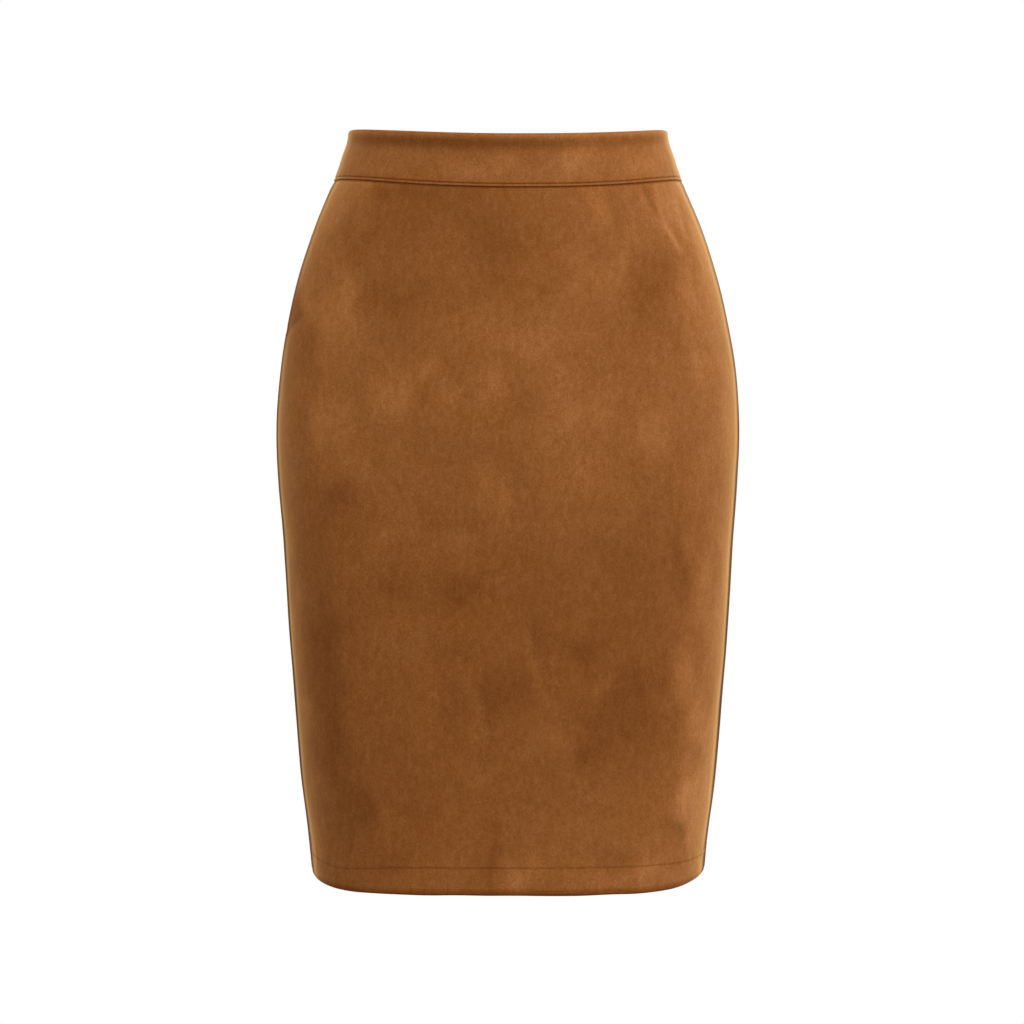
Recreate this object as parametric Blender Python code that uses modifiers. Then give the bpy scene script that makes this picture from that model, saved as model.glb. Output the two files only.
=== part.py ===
"""Pencil skirt in suede cloth, with a shaped waistband and a centre-back zip.

The cloth stands hollow, as it does when it is worn. Metres, +Z up. The front
faces -Y, and +X is on the viewer's right from the front. The origin is the
middle of the waist opening, half way up the waistband at the sides.

Every ring of the skirt is one curve. For a turn t (0 at the centre front,
90 degrees at the right side, 180 degrees at the centre back):

    x = half_width * sin(t) / n      y = -depth * cos(t) / n
    n = (|sin t| ** squareness + |cos t| ** squareness) ** (1 / squareness)

so a squareness of 2 is an ellipse and a larger one has flatter sides. The
front and the back of a ring have their own depth and squareness, and both
meet the side at a right angle, so the ring has no corner there.
"""
from collections import namedtuple
from math import atan2, cos, pi, radians, sin

import bmesh
import bpy
import numpy as np
from mathutils import Matrix, Vector

MM = 0.001

# ---------------------------------------------------------------- cloth sizes
CLOTH = 1.2 * MM                # one layer of suede cloth
BAND = 2.6 * MM                 # waistband: cloth, interfacing, cloth
GAP = 0.3 * MM                  # between two pieces at a seam
HEM_AIR = 0.6 * MM              # between the skirt and its turned-up hem
HEM_TURN = 20.5 * MM            # depth of the hem

# ------------------------------------------------------------- heights (z)
BAND_TOP = 19.0 * MM            # top edge of the waistband at the sides
WAIST_SEAM = -18.5 * MM         # seam under the waistband at the sides
HEM = -562.0 * MM               # lower edge of the skirt
TOP_DIP_FRONT = 9.6 * MM        # how much lower each edge is at centre front
SEAM_DIP_FRONT = 12.4 * MM
DIP_BACK = 4.0 * MM             # and both of them at centre back
HEM_LIFT_LEFT = 11.0 * MM       # how far the hem rises at each side seam
HEM_LIFT_RIGHT = 12.0 * MM
HEM_REACH_LEFT = 0.74           # of the ring's depth, before the hem is level
HEM_REACH_RIGHT = 0.83

# --------------------------------------------------------- side seams and slit
SIDE_SEAM_WAIST = radians(8.5)  # turn from the side forward to the seam
SIDE_SEAM_HEM = radians(12.5)
SLIT_TOP = -405.0 * MM          # the centre-back seam is open below this
SLIT_PARTING = 5.5 * MM         # half the width of the slit at the hem

# ------------------------------------------------------------------------ zip
BACK_TOP = BAND_TOP - DIP_BACK  # top edge of the waistband at centre back
ZIP_TOP = BACK_TOP - 3.5 * MM
ZIP_BOTTOM = -178.0 * MM
TAPE_WIDTH = 9.0 * MM
TAPE = 0.55 * MM                # thickness of the woven tape
COIL = 1.6 * MM                 # thickness of the coil along its edge
COIL_WIDTH = 1.7 * MM
SLIDER_HEIGHT = BACK_TOP - 9.0 * MM
EDGES_PARTED_FROM = SLIDER_HEIGHT - 3.0 * MM    # the slider holds the edges apart
EDGES_MEET_AT = SLIDER_HEIGHT - 12.0 * MM

TAPE_STEP = 9.0 * MM            # the tape comes off the waistband over this height
TAPE_ROW_AIR = 5.0 * MM         # least height of a tape's facets at its two ends

Block = namedtuple("Block", "half_width below above")   # in mm, from the slider's middle
OUTER_PLATE = Block(2.2, 4.2, 3.5)
NECK = Block(0.45, 1.2, 1.8)
INNER_PLATE = Block(3.2, 5.0, 3.6)
PLATE = 0.9 * MM                # thickness of the slider's outer plate
CAGE = 1.1 * MM                 # thickness of its inner plate
PLATE_ROUNDING = 0.3 * MM
BAIL_RADIUS = 2.45 * MM         # arch that the pull hangs on
BAIL_WIRE = 0.45 * MM
BAIL_SUNK = 0.45 * MM           # how deep the arch's feet go into the plate

PULL_LENGTH = 19.5 * MM         # from the hinge axis to the tip
PULL = 0.9 * MM                 # thickness of the pull
PULL_EDGE = 0.15 * MM           # rounding along its edges
PULL_WAIST = 1.35 * MM          # half its width where it is narrowest
PULL_BELLY = 2.6 * MM           # and where it is widest
PULL_EYE = 1.9 * MM             # half the width of its eye, outside
PULL_BAR = 0.5 * MM             # the eye's bar, above the hinge axis and below it
PULL_SLOT = 0.95 * MM           # half the width of the eye's slot
PULL_SLOT_END = 3.4 * MM        # how far the slot reaches below the hinge axis
PULL_OFF_PLATE = 0.8 * MM       # hinge axis above the outer plate
PULL_BELOW_BAIL = 0.7 * MM      # hinge axis below the middle of the arch

# ------------------------------------------------------------------ the form
# One row for each height, in millimetres. half_width is to the side, front and
# back are the depths from the line of the sides.
Level = namedtuple("Level", "z half_width front back front_square back_square")
LEVELS = (
    Level(20.0, 124.2, 86.0, 86.4, 2.25, 2.20),
    Level(10.0, 126.6, 86.9, 87.2, 2.25, 2.20),
    Level(0.0, 129.7, 87.8, 88.2, 2.25, 2.20),
    Level(-18.0, 135.7, 89.5, 90.2, 2.25, 2.20),
    Level(-30.0, 140.6, 91.2, 92.8, 2.26, 2.20),
    Level(-50.0, 148.9, 94.0, 98.2, 2.28, 2.18),
    Level(-75.0, 157.8, 96.8, 105.0, 2.30, 2.16),
    Level(-100.0, 165.0, 99.2, 110.6, 2.30, 2.15),
    Level(-130.0, 171.6, 101.2, 115.6, 2.32, 2.14),
    Level(-165.0, 177.2, 102.6, 118.8, 2.34, 2.14),
    Level(-200.0, 180.0, 103.2, 119.6, 2.36, 2.15),
    Level(-225.0, 180.2, 103.4, 118.6, 2.38, 2.18),
    Level(-250.0, 178.9, 103.4, 116.4, 2.40, 2.20),
    Level(-300.0, 174.9, 103.2, 111.6, 2.46, 2.26),
    Level(-360.0, 171.0, 103.0, 107.2, 2.53, 2.34),
    Level(-420.0, 166.3, 103.0, 104.2, 2.60, 2.42),
    Level(-480.0, 161.2, 103.3, 102.2, 2.67, 2.48),
    Level(-530.0, 154.8, 104.2, 101.0, 2.72, 2.52),
    Level(-565.0, 151.4, 104.8, 100.4, 2.78, 2.55),
)

# ------------------------------------------------------------------ fineness
FRONT_COLUMNS = 26
BACK_COLUMNS = 13
BAND_COLUMNS = 48
PANEL_ROWS = 16
FOLD_ROWS = 4
CENTRE_COLUMN = 11.0 * MM       # width of a panel's facets along the centre back

# ----------------------------------------------------- colours and roughness
Finish = namedtuple("Finish", "colour roughness metallic")
FINISHES = {
    "suede": Finish((0.24, 0.085, 0.021), 0.95, 0.0),
    "zip_tape": Finish((0.16, 0.06, 0.02), 0.85, 0.0),
    "zip_enamel": Finish((0.17, 0.065, 0.02), 0.4, 0.0),
}


# ------------------------------------------------------------------ the scene
def clear_scene():
    """Remove whatever objects the file holds."""
    for item in list(bpy.data.objects):
        bpy.data.objects.remove(item, do_unlink=True)


def make_collection(name):
    """A new collection under the scene's own."""
    collection = bpy.data.collections.new(name)
    bpy.context.scene.collection.children.link(collection)
    return collection


def make_material(name, finish):
    """A Principled material from one of the finishes."""
    material = bpy.data.materials.new(name)
    material.use_nodes = True
    shader = material.node_tree.nodes["Principled BSDF"]
    shader.inputs["Base Color"].default_value = (*finish.colour, 1.0)
    shader.inputs["Roughness"].default_value = finish.roughness
    shader.inputs["Metallic"].default_value = finish.metallic
    return material


def add_object(name, mesh, finish, collection):
    """Put a mesh into the collection with a material of its own."""
    piece = bpy.data.objects.new(name, mesh)
    mesh.materials.append(make_material(name, FINISHES[finish]))
    mesh.shade_smooth()
    collection.objects.link(piece)
    return piece


# ------------------------------------------------------------------- the form
def level(column, z):
    """A column of LEVELS at the heights z, on a smooth curve through its rows."""
    known_z = np.array([row.z for row in reversed(LEVELS)]) * MM
    known = np.array([getattr(row, column) for row in reversed(LEVELS)])
    slope = np.gradient(known, known_z)
    z = np.clip(z, known_z[0], known_z[-1])
    k = np.clip(np.searchsorted(known_z, z) - 1, 0, len(known_z) - 2)
    step = known_z[k + 1] - known_z[k]
    s = (z - known_z[k]) / step
    rise = s * s * (3.0 - 2.0 * s)
    start = s * (1.0 - s) ** 2 * slope[k] * step
    end = s * s * (s - 1.0) * slope[k + 1] * step
    return known[k] + (known[k + 1] - known[k]) * rise + start + end


def form(turn, z, inset):
    """Points of the skirt's ring at height z, moved in by inset."""
    front = np.cos(turn) > 0.0
    depth = np.where(front, level("front", z), level("back", z)) * MM - inset
    square = np.where(front, level("front_square", z), level("back_square", z))
    half_width = level("half_width", z) * MM - inset
    across = np.sin(turn)
    along = np.cos(turn)
    n = (np.abs(across) ** square + np.abs(along) ** square) ** (1.0 / square)
    return np.stack([half_width * across / n, -depth * along / n, z], axis=-1)


def centrality(turn):
    """1 at the centre front and centre back, falling to 0 at the sides.

    It is one less the square of x as a share of the half width, so an edge
    that dips by it lies on a parabola when it is seen from the front.
    """
    square = 2.25
    n = (np.abs(np.sin(turn)) ** square + np.abs(np.cos(turn)) ** square) ** (1.0 / square)
    return 1.0 - (np.sin(turn) / n) ** 2


def dipped(height, front_dip, turn):
    """An edge at this height at the sides, lower towards the front and back."""
    dip = np.where(np.cos(turn) > 0.0, front_dip, DIP_BACK)
    return height - dip * centrality(turn)


def band_top(turn):
    """Height of the waistband's top edge."""
    return dipped(BAND_TOP, TOP_DIP_FRONT, turn)


def waist_seam(turn):
    """Height of the seam between the waistband and the panels."""
    return dipped(WAIST_SEAM, SEAM_DIP_FRONT, turn)


def hem_edge(turn):
    """Height of the skirt's lower edge, which rises at the side seams."""
    on_right = np.sin(turn) > 0.0
    reach = np.where(on_right, HEM_REACH_RIGHT, HEM_REACH_LEFT)
    lift = np.where(on_right, HEM_LIFT_RIGHT, HEM_LIFT_LEFT)
    near_side = np.clip(1.0 - (np.cos(turn) / reach) ** 2, 0.0, 1.0) ** 1.8
    return HEM + lift * near_side


def side_seam(z):
    """Turn of the side seam: a little forward of the side, more so at the hem."""
    share = np.clip((WAIST_SEAM - z) / (WAIST_SEAM - HEM), 0.0, 1.0)
    return pi / 2.0 - SIDE_SEAM_WAIST - (SIDE_SEAM_HEM - SIDE_SEAM_WAIST) * share


def back_edge(z):
    """Distance of a centre-back edge from the middle plane.

    The edges meet along the seam, are held apart by the slider at the top, and
    part again down the slit.
    """
    meet = GAP / 2.0
    parted = NECK.half_width * MM + 2.0 * GAP
    at_slider = np.clip((z - EDGES_MEET_AT) / (EDGES_PARTED_FROM - EDGES_MEET_AT), 0.0, 1.0)
    down_slit = np.clip((SLIT_TOP - z) / (SLIT_TOP - HEM), 0.0, 1.0)
    return meet + (parted - meet) * at_slider + SLIT_PARTING * down_slit ** 1.3


def turn_at(x, z):
    """Turn of the point of the back that lies x to the right of the middle."""
    return pi - x / (level("half_width", z) * MM)


# --------------------------------------------------------------- cloth pieces
def cloth_mesh(name, points):
    """A mesh of quads over a grid of points, rows downward and columns by turn."""
    rows, columns, _ = points.shape
    index = np.arange(rows * columns).reshape(rows, columns)
    quads = np.stack(
        [index[:-1, :-1], index[1:, :-1], index[1:, 1:], index[:-1, 1:]], axis=-1
    ).reshape(-1, 4)
    mesh = bpy.data.meshes.new(name)
    mesh.from_pydata(points.reshape(-1, 3).tolist(), [], quads.tolist())
    mesh.update()
    return mesh


def thicken(piece, thickness):
    """Give an open sheet its thickness, half to each side."""
    wall = piece.modifiers.new("cloth", "SOLIDIFY")
    wall.thickness = thickness
    wall.offset = 0.0
    wall.use_even_offset = True
    wall.use_quality_normals = True


def panel_points(left_turn, right_turn, across):
    """Middle surface of a panel: down the outside, round the hem and up inside.

    left_turn and right_turn give the panel's edges as turns for a height, and
    across is each column's share of the way between them. The fold is a half
    circle between the skirt and its turned-up hem.
    """
    fold = (CLOTH + HEM_AIR) / 2.0
    down = np.linspace(0.0, 1.0, PANEL_ROWS + 1) ** 1.15
    around = np.linspace(0.0, pi, FOLD_ROWS + 1)[1:]
    up = np.array([0.5, 1.0])
    share = np.concatenate([down, np.ones(FOLD_ROWS + 2)])
    inset = CLOTH / 2.0 + np.concatenate(
        [np.zeros(PANEL_ROWS + 1), fold * (1.0 - np.cos(around)), np.full(2, 2.0 * fold)]
    )
    rise = np.concatenate(
        [np.zeros(PANEL_ROWS + 1), -fold * np.sin(around), up * HEM_TURN]
    )
    middle_z = np.full((len(share), 1), (WAIST_SEAM + HEM) / 2.0)
    turn = left_turn(middle_z) + (right_turn(middle_z) - left_turn(middle_z)) * across
    for _ in range(3):
        top = waist_seam(turn) - GAP / 2.0
        low = hem_edge(turn) + fold + CLOTH / 2.0
        z = top + (low - top) * share[:, None] + rise[:, None]
        turn = left_turn(z) + (right_turn(z) - left_turn(z)) * across
    return form(turn, z, inset[:, None])


def seam_allowed(turn, z, sign):
    """A seam's turn, moved by half the gap, where sign is towards the back."""
    return turn + sign * GAP / 2.0 / (level("front", z) * MM)


def build_front_panel(collection):
    """The whole front, from side seam to side seam."""
    points = panel_points(
        lambda z: -seam_allowed(side_seam(z), z, -1.0),
        lambda z: seam_allowed(side_seam(z), z, -1.0),
        np.linspace(0.0, 1.0, FRONT_COLUMNS + 1),
    )
    piece = add_object("front_panel", cloth_mesh("front_panel", points), "suede", collection)
    thicken(piece, CLOTH)


def build_back_panel(name, right, collection):
    """Half of the back, from a side seam to the centre-back seam and slit.

    Returns the points of its middle surface, which the zip is laid on.
    """
    def side(z):
        return seam_allowed(side_seam(z), z, 1.0)

    def middle(z):
        return turn_at(back_edge(z), z)

    last = CENTRE_COLUMN / (level("half_width", HEM / 2.0) * MM * pi / 2.0)
    across = np.append(np.linspace(0.0, 1.0 - last, BACK_COLUMNS), 1.0)
    if right:
        points = panel_points(side, middle, across)
    else:
        points = panel_points(lambda z: -middle(z), lambda z: -side(z), 1.0 - across[::-1])
    piece = add_object(name, cloth_mesh(name, points), "suede", collection)
    thicken(piece, CLOTH)
    return points


def build_waistband(collection):
    """One strip from centre back round the front to centre back.

    Returns the points of its middle surface, which the zip is laid on.
    """
    back_z = np.array([BACK_TOP, EDGES_PARTED_FROM, EDGES_MEET_AT, WAIST_SEAM - DIP_BACK])
    share = ((BACK_TOP - back_z) / (BACK_TOP - back_z[-1]))[:, None]
    across = np.linspace(-1.0, 1.0, BAND_COLUMNS + 1)[None, :]
    turn = across * turn_at(back_edge(back_z), back_z)[:, None]
    top = band_top(turn)
    z = top + (waist_seam(turn) + GAP / 2.0 - top) * share
    points = form(turn, z, BAND / 2.0)
    piece = add_object("waistband", cloth_mesh("waistband", points), "suede", collection)
    thicken(piece, BAND)
    rounding = piece.modifiers.new("soft_edges", "BEVEL")
    rounding.width = 0.95 * MM
    rounding.segments = 2
    rounding.limit_method = "ANGLE"
    rounding.angle_limit = radians(50.0)
    return points


# ------------------------------------------------------------------------ zip
def lying_inside(points, edge, beside, z, from_edge, clearance):
    """Points on a faceted piece's own facets along one edge, moved inwards.

    edge and beside are the piece's last two columns, from_edge is the distance
    in from the edge, and clearance is how far inside the middle surface.
    """
    def along(column):
        line = points[: PANEL_ROWS + 1][::-1, column]
        x = np.interp(z, line[:, 2], line[:, 0])
        y = np.interp(z, line[:, 2], line[:, 1])
        return np.stack([x, y, z], axis=-1)[:, None, :]

    start = along(edge)
    way = along(beside) - start
    way = way / np.linalg.norm(way, axis=-1, keepdims=True)
    inwards = np.array([0.0, -clearance, 0.0])
    return start + way * from_edge[None, :, None] + inwards


def build_zip_tape(name, right, band, panel, collection):
    """Half of the zip: a woven tape inside the cloth, with its coil along one edge."""
    from_edge = np.array([TAPE_WIDTH, TAPE_WIDTH / 2.0, COIL_WIDTH * 1.25, COIL_WIDTH, 0.0])
    edge, beside = (-1, -2) if right else (0, 1)
    if not right:
        from_edge = from_edge[::-1]
    seam = WAIST_SEAM - DIP_BACK
    band_z = np.array([ZIP_TOP, EDGES_PARTED_FROM, EDGES_MEET_AT, seam])
    under_band = lying_inside(band, edge, beside, band_z, from_edge, BAND / 2.0 + GAP)
    step = seam - TAPE_STEP
    rows = panel[: PANEL_ROWS + 1, edge, 2]
    rows = rows[(rows < step - TAPE_ROW_AIR) & (rows > ZIP_BOTTOM + TAPE_ROW_AIR)]
    panel_z = np.array([step, *rows, ZIP_BOTTOM])
    under_panel = lying_inside(panel, edge, beside, panel_z, from_edge, CLOTH / 2.0 + GAP)
    points = np.concatenate([under_band, under_panel])
    piece = add_object(name, cloth_mesh(name, points), "zip_tape", collection)
    coil = piece.vertex_groups.new(name="coil")
    for column, distance in enumerate(from_edge):
        if distance <= COIL_WIDTH:
            ring = range(column, points.shape[0] * points.shape[1], points.shape[1])
            coil.add(list(ring), 1.0, "REPLACE")
    wall = piece.modifiers.new("tape", "SOLIDIFY")
    wall.thickness = COIL
    wall.offset = -1.0
    wall.vertex_group = "coil"
    wall.thickness_vertex_group = TAPE / COIL


def slider_frame():
    """Where the slider stands on the waistband, and how far the cloth tilts there."""
    reach = 6.0 * MM
    heights = np.array([SLIDER_HEIGHT - reach, SLIDER_HEIGHT, SLIDER_HEIGHT + reach])
    depth = level("back", heights) * MM
    tilt = atan2(depth[0] - depth[2], 2.0 * reach)
    return Vector((0.0, depth[1], SLIDER_HEIGHT)), tilt


def block(name, sizes, inner_y, outer_y, rounding, collection):
    """A box of these sizes about the slider's middle, with softened edges."""
    low = (-sizes.half_width * MM, inner_y, -sizes.below * MM)
    high = (sizes.half_width * MM, outer_y, sizes.above * MM)
    size = Vector(high) - Vector(low)
    middle = (Vector(high) + Vector(low)) / 2.0
    shape = bmesh.new()
    bmesh.ops.create_cube(shape, size=1.0)
    bmesh.ops.scale(shape, vec=size, verts=shape.verts)
    bmesh.ops.translate(shape, vec=middle, verts=shape.verts)
    if rounding > 0.0:
        bmesh.ops.bevel(
            shape, geom=shape.edges, offset=rounding, segments=2, profile=0.5, affect="EDGES"
        )
    mesh = bpy.data.meshes.new(name)
    shape.to_mesh(mesh)
    shape.free()
    item = bpy.data.objects.new(name, mesh)
    collection.objects.link(item)
    return item


def curve_mesh(name, loops, closed, settings):
    """Mesh of a curve through loops of points, with its caps welded on."""
    curve = bpy.data.curves.new(name, "CURVE")
    for key, value in settings.items():
        setattr(curve, key, value)
    for loop in loops:
        spline = curve.splines.new("POLY")
        spline.points.add(len(loop) - 1)
        for point, place in zip(spline.points, loop):
            point.co = (*place, 1.0)
        spline.use_cyclic_u = closed
    holder = bpy.data.objects.new(name, curve)
    bpy.context.scene.collection.objects.link(holder)
    graph = bpy.context.evaluated_depsgraph_get()
    mesh = bpy.data.meshes.new_from_object(holder.evaluated_get(graph))
    bpy.data.objects.remove(holder)
    shape = bmesh.new()
    shape.from_mesh(mesh)
    bmesh.ops.remove_doubles(shape, verts=shape.verts, dist=0.002 * MM)
    shape.to_mesh(mesh)
    shape.free()
    return mesh


def as_cutter(item):
    """Show a guide object as wire, and keep it out of the model."""
    item.hide_render = True
    item.display_type = "WIRE"


def build_zip_slider(collection, guides):
    """The slider: an outer plate with its arch, a neck, and a plate inside."""
    place, tilt = slider_frame()
    depth_inside = BAND + GAP + COIL + GAP
    root = GAP + PLATE
    plate = block("zip_slider", OUTER_PLATE, GAP, root, PLATE_ROUNDING, collection)
    plate.data.materials.append(make_material("zip_slider", FINISHES["zip_enamel"]))
    neck = block("slider_neck", NECK, -depth_inside - CAGE / 2.0, GAP + PLATE / 2.0, 0.0, guides)
    cage = block(
        "slider_cage", INNER_PLATE, -depth_inside - CAGE, -depth_inside, PLATE_ROUNDING, guides
    )
    angles = np.linspace(-pi / 2.0, pi / 2.0, 11)
    arc = [(0.0, root + BAIL_RADIUS * cos(a), BAIL_RADIUS * sin(a)) for a in angles]
    foot = root - BAIL_SUNK
    path = [(0.0, foot, -BAIL_RADIUS), *arc, (0.0, foot, BAIL_RADIUS)]
    wire = {"dimensions": "3D", "bevel_depth": BAIL_WIRE, "bevel_resolution": 2, "use_fill_caps": True}
    bail = bpy.data.objects.new("slider_bail", curve_mesh("slider_bail", [path], False, wire))
    guides.objects.link(bail)
    for item in (plate, neck, cage, bail):
        item.location = place
        item.rotation_euler = (tilt, 0.0, 0.0)
    for item in (neck, cage, bail):
        as_cutter(item)
        join = plate.modifiers.new(item.name, "BOOLEAN")
        join.operation = "UNION"
        join.solver = "EXACT"
        join.object = item


def pull_half_width(distance):
    """Half the width of the pull's blade, this far below its eye."""
    widens_from = PULL_SLOT_END + 0.6 * MM
    widens_over = PULL_LENGTH - PULL_BELLY - 0.4 * MM - widens_from
    share = np.clip((distance - widens_from) / widens_over, 0.0, 1.0)
    return PULL_WAIST + (PULL_BELLY - PULL_WAIST) * share * share * (3.0 - 2.0 * share)


def arc_points(radius, middle, start, end, count):
    """Points on an arc about (0, middle), from one angle to another."""
    return [(radius * cos(a), middle + radius * sin(a)) for a in np.linspace(start, end, count)]


def build_zip_pull(collection):
    """The pull: a flat drop with an eye, which swings on the slider's arch."""
    place, tilt = slider_frame()
    top = arc_points(PULL_EYE, PULL_BAR - PULL_EYE, 0.0, pi, 13)
    runs = np.linspace(PULL_SLOT_END, PULL_LENGTH - PULL_BELLY, 8)
    left = [(-float(pull_half_width(d)), -d) for d in runs]
    tip = arc_points(PULL_BELLY, PULL_BELLY - PULL_LENGTH, pi, 2.0 * pi, 13)[1:-1]
    right = [(float(pull_half_width(d)), -d) for d in runs[::-1]]
    upper = arc_points(PULL_SLOT, -PULL_BAR - PULL_SLOT, 0.0, pi, 9)
    lower = arc_points(PULL_SLOT, PULL_SLOT - PULL_SLOT_END, pi, 2.0 * pi, 9)
    outline = top + left + tip + right
    loops = [[(x, z, 0.0) for x, z in loop] for loop in (outline, upper + lower)]
    flat = {
        "dimensions": "2D",
        "fill_mode": "BOTH",
        "extrude": PULL / 2.0 - PULL_EDGE,
        "bevel_depth": PULL_EDGE,
        "bevel_resolution": 1,
        "offset": -PULL_EDGE,
    }
    mesh = curve_mesh("zip_pull", loops, True, flat)
    mesh.transform(Matrix.Rotation(pi / 2.0, 4, "X"))
    piece = add_object("zip_pull", mesh, "zip_enamel", collection)
    hinge = Vector((0.0, GAP + PLATE + PULL_OFF_PLATE, -PULL_BELOW_BAIL))
    piece.location = place + Matrix.Rotation(tilt, 3, "X") @ hinge
    piece.rotation_euler = (tilt, 0.0, 0.0)


def main():
    """Build every piece of the skirt."""
    clear_scene()
    skirt = make_collection("pencil_skirt")
    guides = make_collection("guides")
    build_front_panel(skirt)
    left = build_back_panel("back_panel_left", False, skirt)
    right = build_back_panel("back_panel_right", True, skirt)
    band = build_waistband(skirt)
    build_zip_tape("zip_tape_left", False, band, left, skirt)
    build_zip_tape("zip_tape_right", True, band, right, skirt)
    build_zip_slider(skirt, guides)
    build_zip_pull(skirt)


main()
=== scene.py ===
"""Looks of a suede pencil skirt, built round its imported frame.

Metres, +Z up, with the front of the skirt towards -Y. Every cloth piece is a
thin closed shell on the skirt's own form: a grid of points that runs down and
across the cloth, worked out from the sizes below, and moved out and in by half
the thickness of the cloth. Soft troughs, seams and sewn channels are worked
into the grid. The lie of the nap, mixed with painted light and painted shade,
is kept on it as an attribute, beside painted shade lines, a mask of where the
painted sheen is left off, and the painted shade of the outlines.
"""
import logging
from dataclasses import dataclass, field, replace
from enum import Enum
from math import cos, pi, radians, sin, tau
from typing import NamedTuple

import bpy
import numpy as np
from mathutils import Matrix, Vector


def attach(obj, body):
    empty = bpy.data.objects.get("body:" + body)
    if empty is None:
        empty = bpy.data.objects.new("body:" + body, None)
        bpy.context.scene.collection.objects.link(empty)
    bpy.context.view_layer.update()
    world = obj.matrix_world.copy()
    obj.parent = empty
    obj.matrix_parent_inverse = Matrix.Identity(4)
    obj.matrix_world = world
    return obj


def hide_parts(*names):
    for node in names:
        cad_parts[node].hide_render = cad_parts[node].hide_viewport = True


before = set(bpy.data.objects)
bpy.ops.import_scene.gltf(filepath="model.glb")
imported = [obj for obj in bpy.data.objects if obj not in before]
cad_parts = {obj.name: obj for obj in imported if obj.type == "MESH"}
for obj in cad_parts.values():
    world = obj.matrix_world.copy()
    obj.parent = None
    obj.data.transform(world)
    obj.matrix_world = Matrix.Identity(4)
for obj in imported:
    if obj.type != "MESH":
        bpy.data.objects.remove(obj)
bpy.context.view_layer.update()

LOG = logging.getLogger("skirt")
Array = np.ndarray
Piece, Mesh, Material = bpy.types.Object, bpy.types.Mesh, bpy.types.Material
Pair, Triple = tuple[float, float], tuple[float, float, float]
MM = 0.001

SKIRT = "skirt"                 # the body that all sewn pieces ride on

CLOTH = 1.2 * MM                # one layer of suede cloth
BAND = 2.6 * MM                 # waistband: cloth, interfacing, cloth
GAP = 0.3 * MM                  # between two pieces at a seam
SHUT = 0.05 * MM                # between two pieces at a side or waist seam


class Face(Enum):
    """Which half of the skirt a mark lies on."""

    FRONT = 1
    BACK = -1


# ------------------------------------------------------------------- the form
class Level(NamedTuple):
    """One ring of the form, in millimetres.

    half_width is to the side, front and back are the depths from the line of
    the sides, and the squarenesses are 2 for an ellipse and more for flatter
    sides.
    """

    z: float
    half_width: float
    front: float
    back: float
    front_square: float
    back_square: float


LEVELS = tuple(Level(*row) for row in (
    (20, 124.2, 86, 86.4, 2.25, 2.20),
    (10, 126.6, 86.9, 87.2, 2.25, 2.20),
    (0, 129.7, 87.8, 88.2, 2.25, 2.20),
    (-18, 135.7, 89.5, 90.2, 2.25, 2.20),
    (-30, 140.6, 91.2, 92.8, 2.26, 2.20),
    (-50, 148.9, 94, 98.2, 2.28, 2.18),
    (-75, 157.8, 96.8, 105, 2.30, 2.16),
    (-100, 165, 99.2, 110.6, 2.30, 2.15),
    (-130, 171.6, 101.2, 115.6, 2.32, 2.14),
    (-165, 177.2, 102.6, 118.8, 2.34, 2.14),
    (-200, 180, 103.2, 119.6, 2.36, 2.15),
    (-225, 180.2, 103.4, 118.6, 2.38, 2.18),
    (-250, 178.9, 103.4, 116.4, 2.40, 2.20),
    (-300, 174.9, 103.2, 111.6, 2.46, 2.26),
    (-360, 171, 103, 107.2, 2.53, 2.34),
    (-420, 166.3, 103, 104.2, 2.60, 2.42),
    (-480, 161.2, 103.3, 102.2, 2.67, 2.48),
    (-530, 154.8, 104.2, 101, 2.72, 2.52),
    (-565, 151.4, 104.8, 100.4, 2.78, 2.55),
))


def smooth(share: Array) -> Array:
    """A soft step: 0 below 0, 1 above 1, and 3s^2 - 2s^3 between."""
    s = np.clip(share, 0.0, 1.0)
    return s * s * (3.0 - 2.0 * s)


def bell(distance: Array, width: float) -> Array:
    """A bell of height 1: exp of minus the square of distance over width."""
    return np.exp(-((distance / width) ** 2))


class Mark(NamedTuple):
    """A line along an edge or a seam: its strength, how far from it, and its width."""

    strength: float
    at: float
    width: float

    def along(self, distance: Array) -> Array:
        """The mark at these distances from the edge, as a bell across the line."""
        return self.strength * bell(distance - self.at, self.width)


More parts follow.
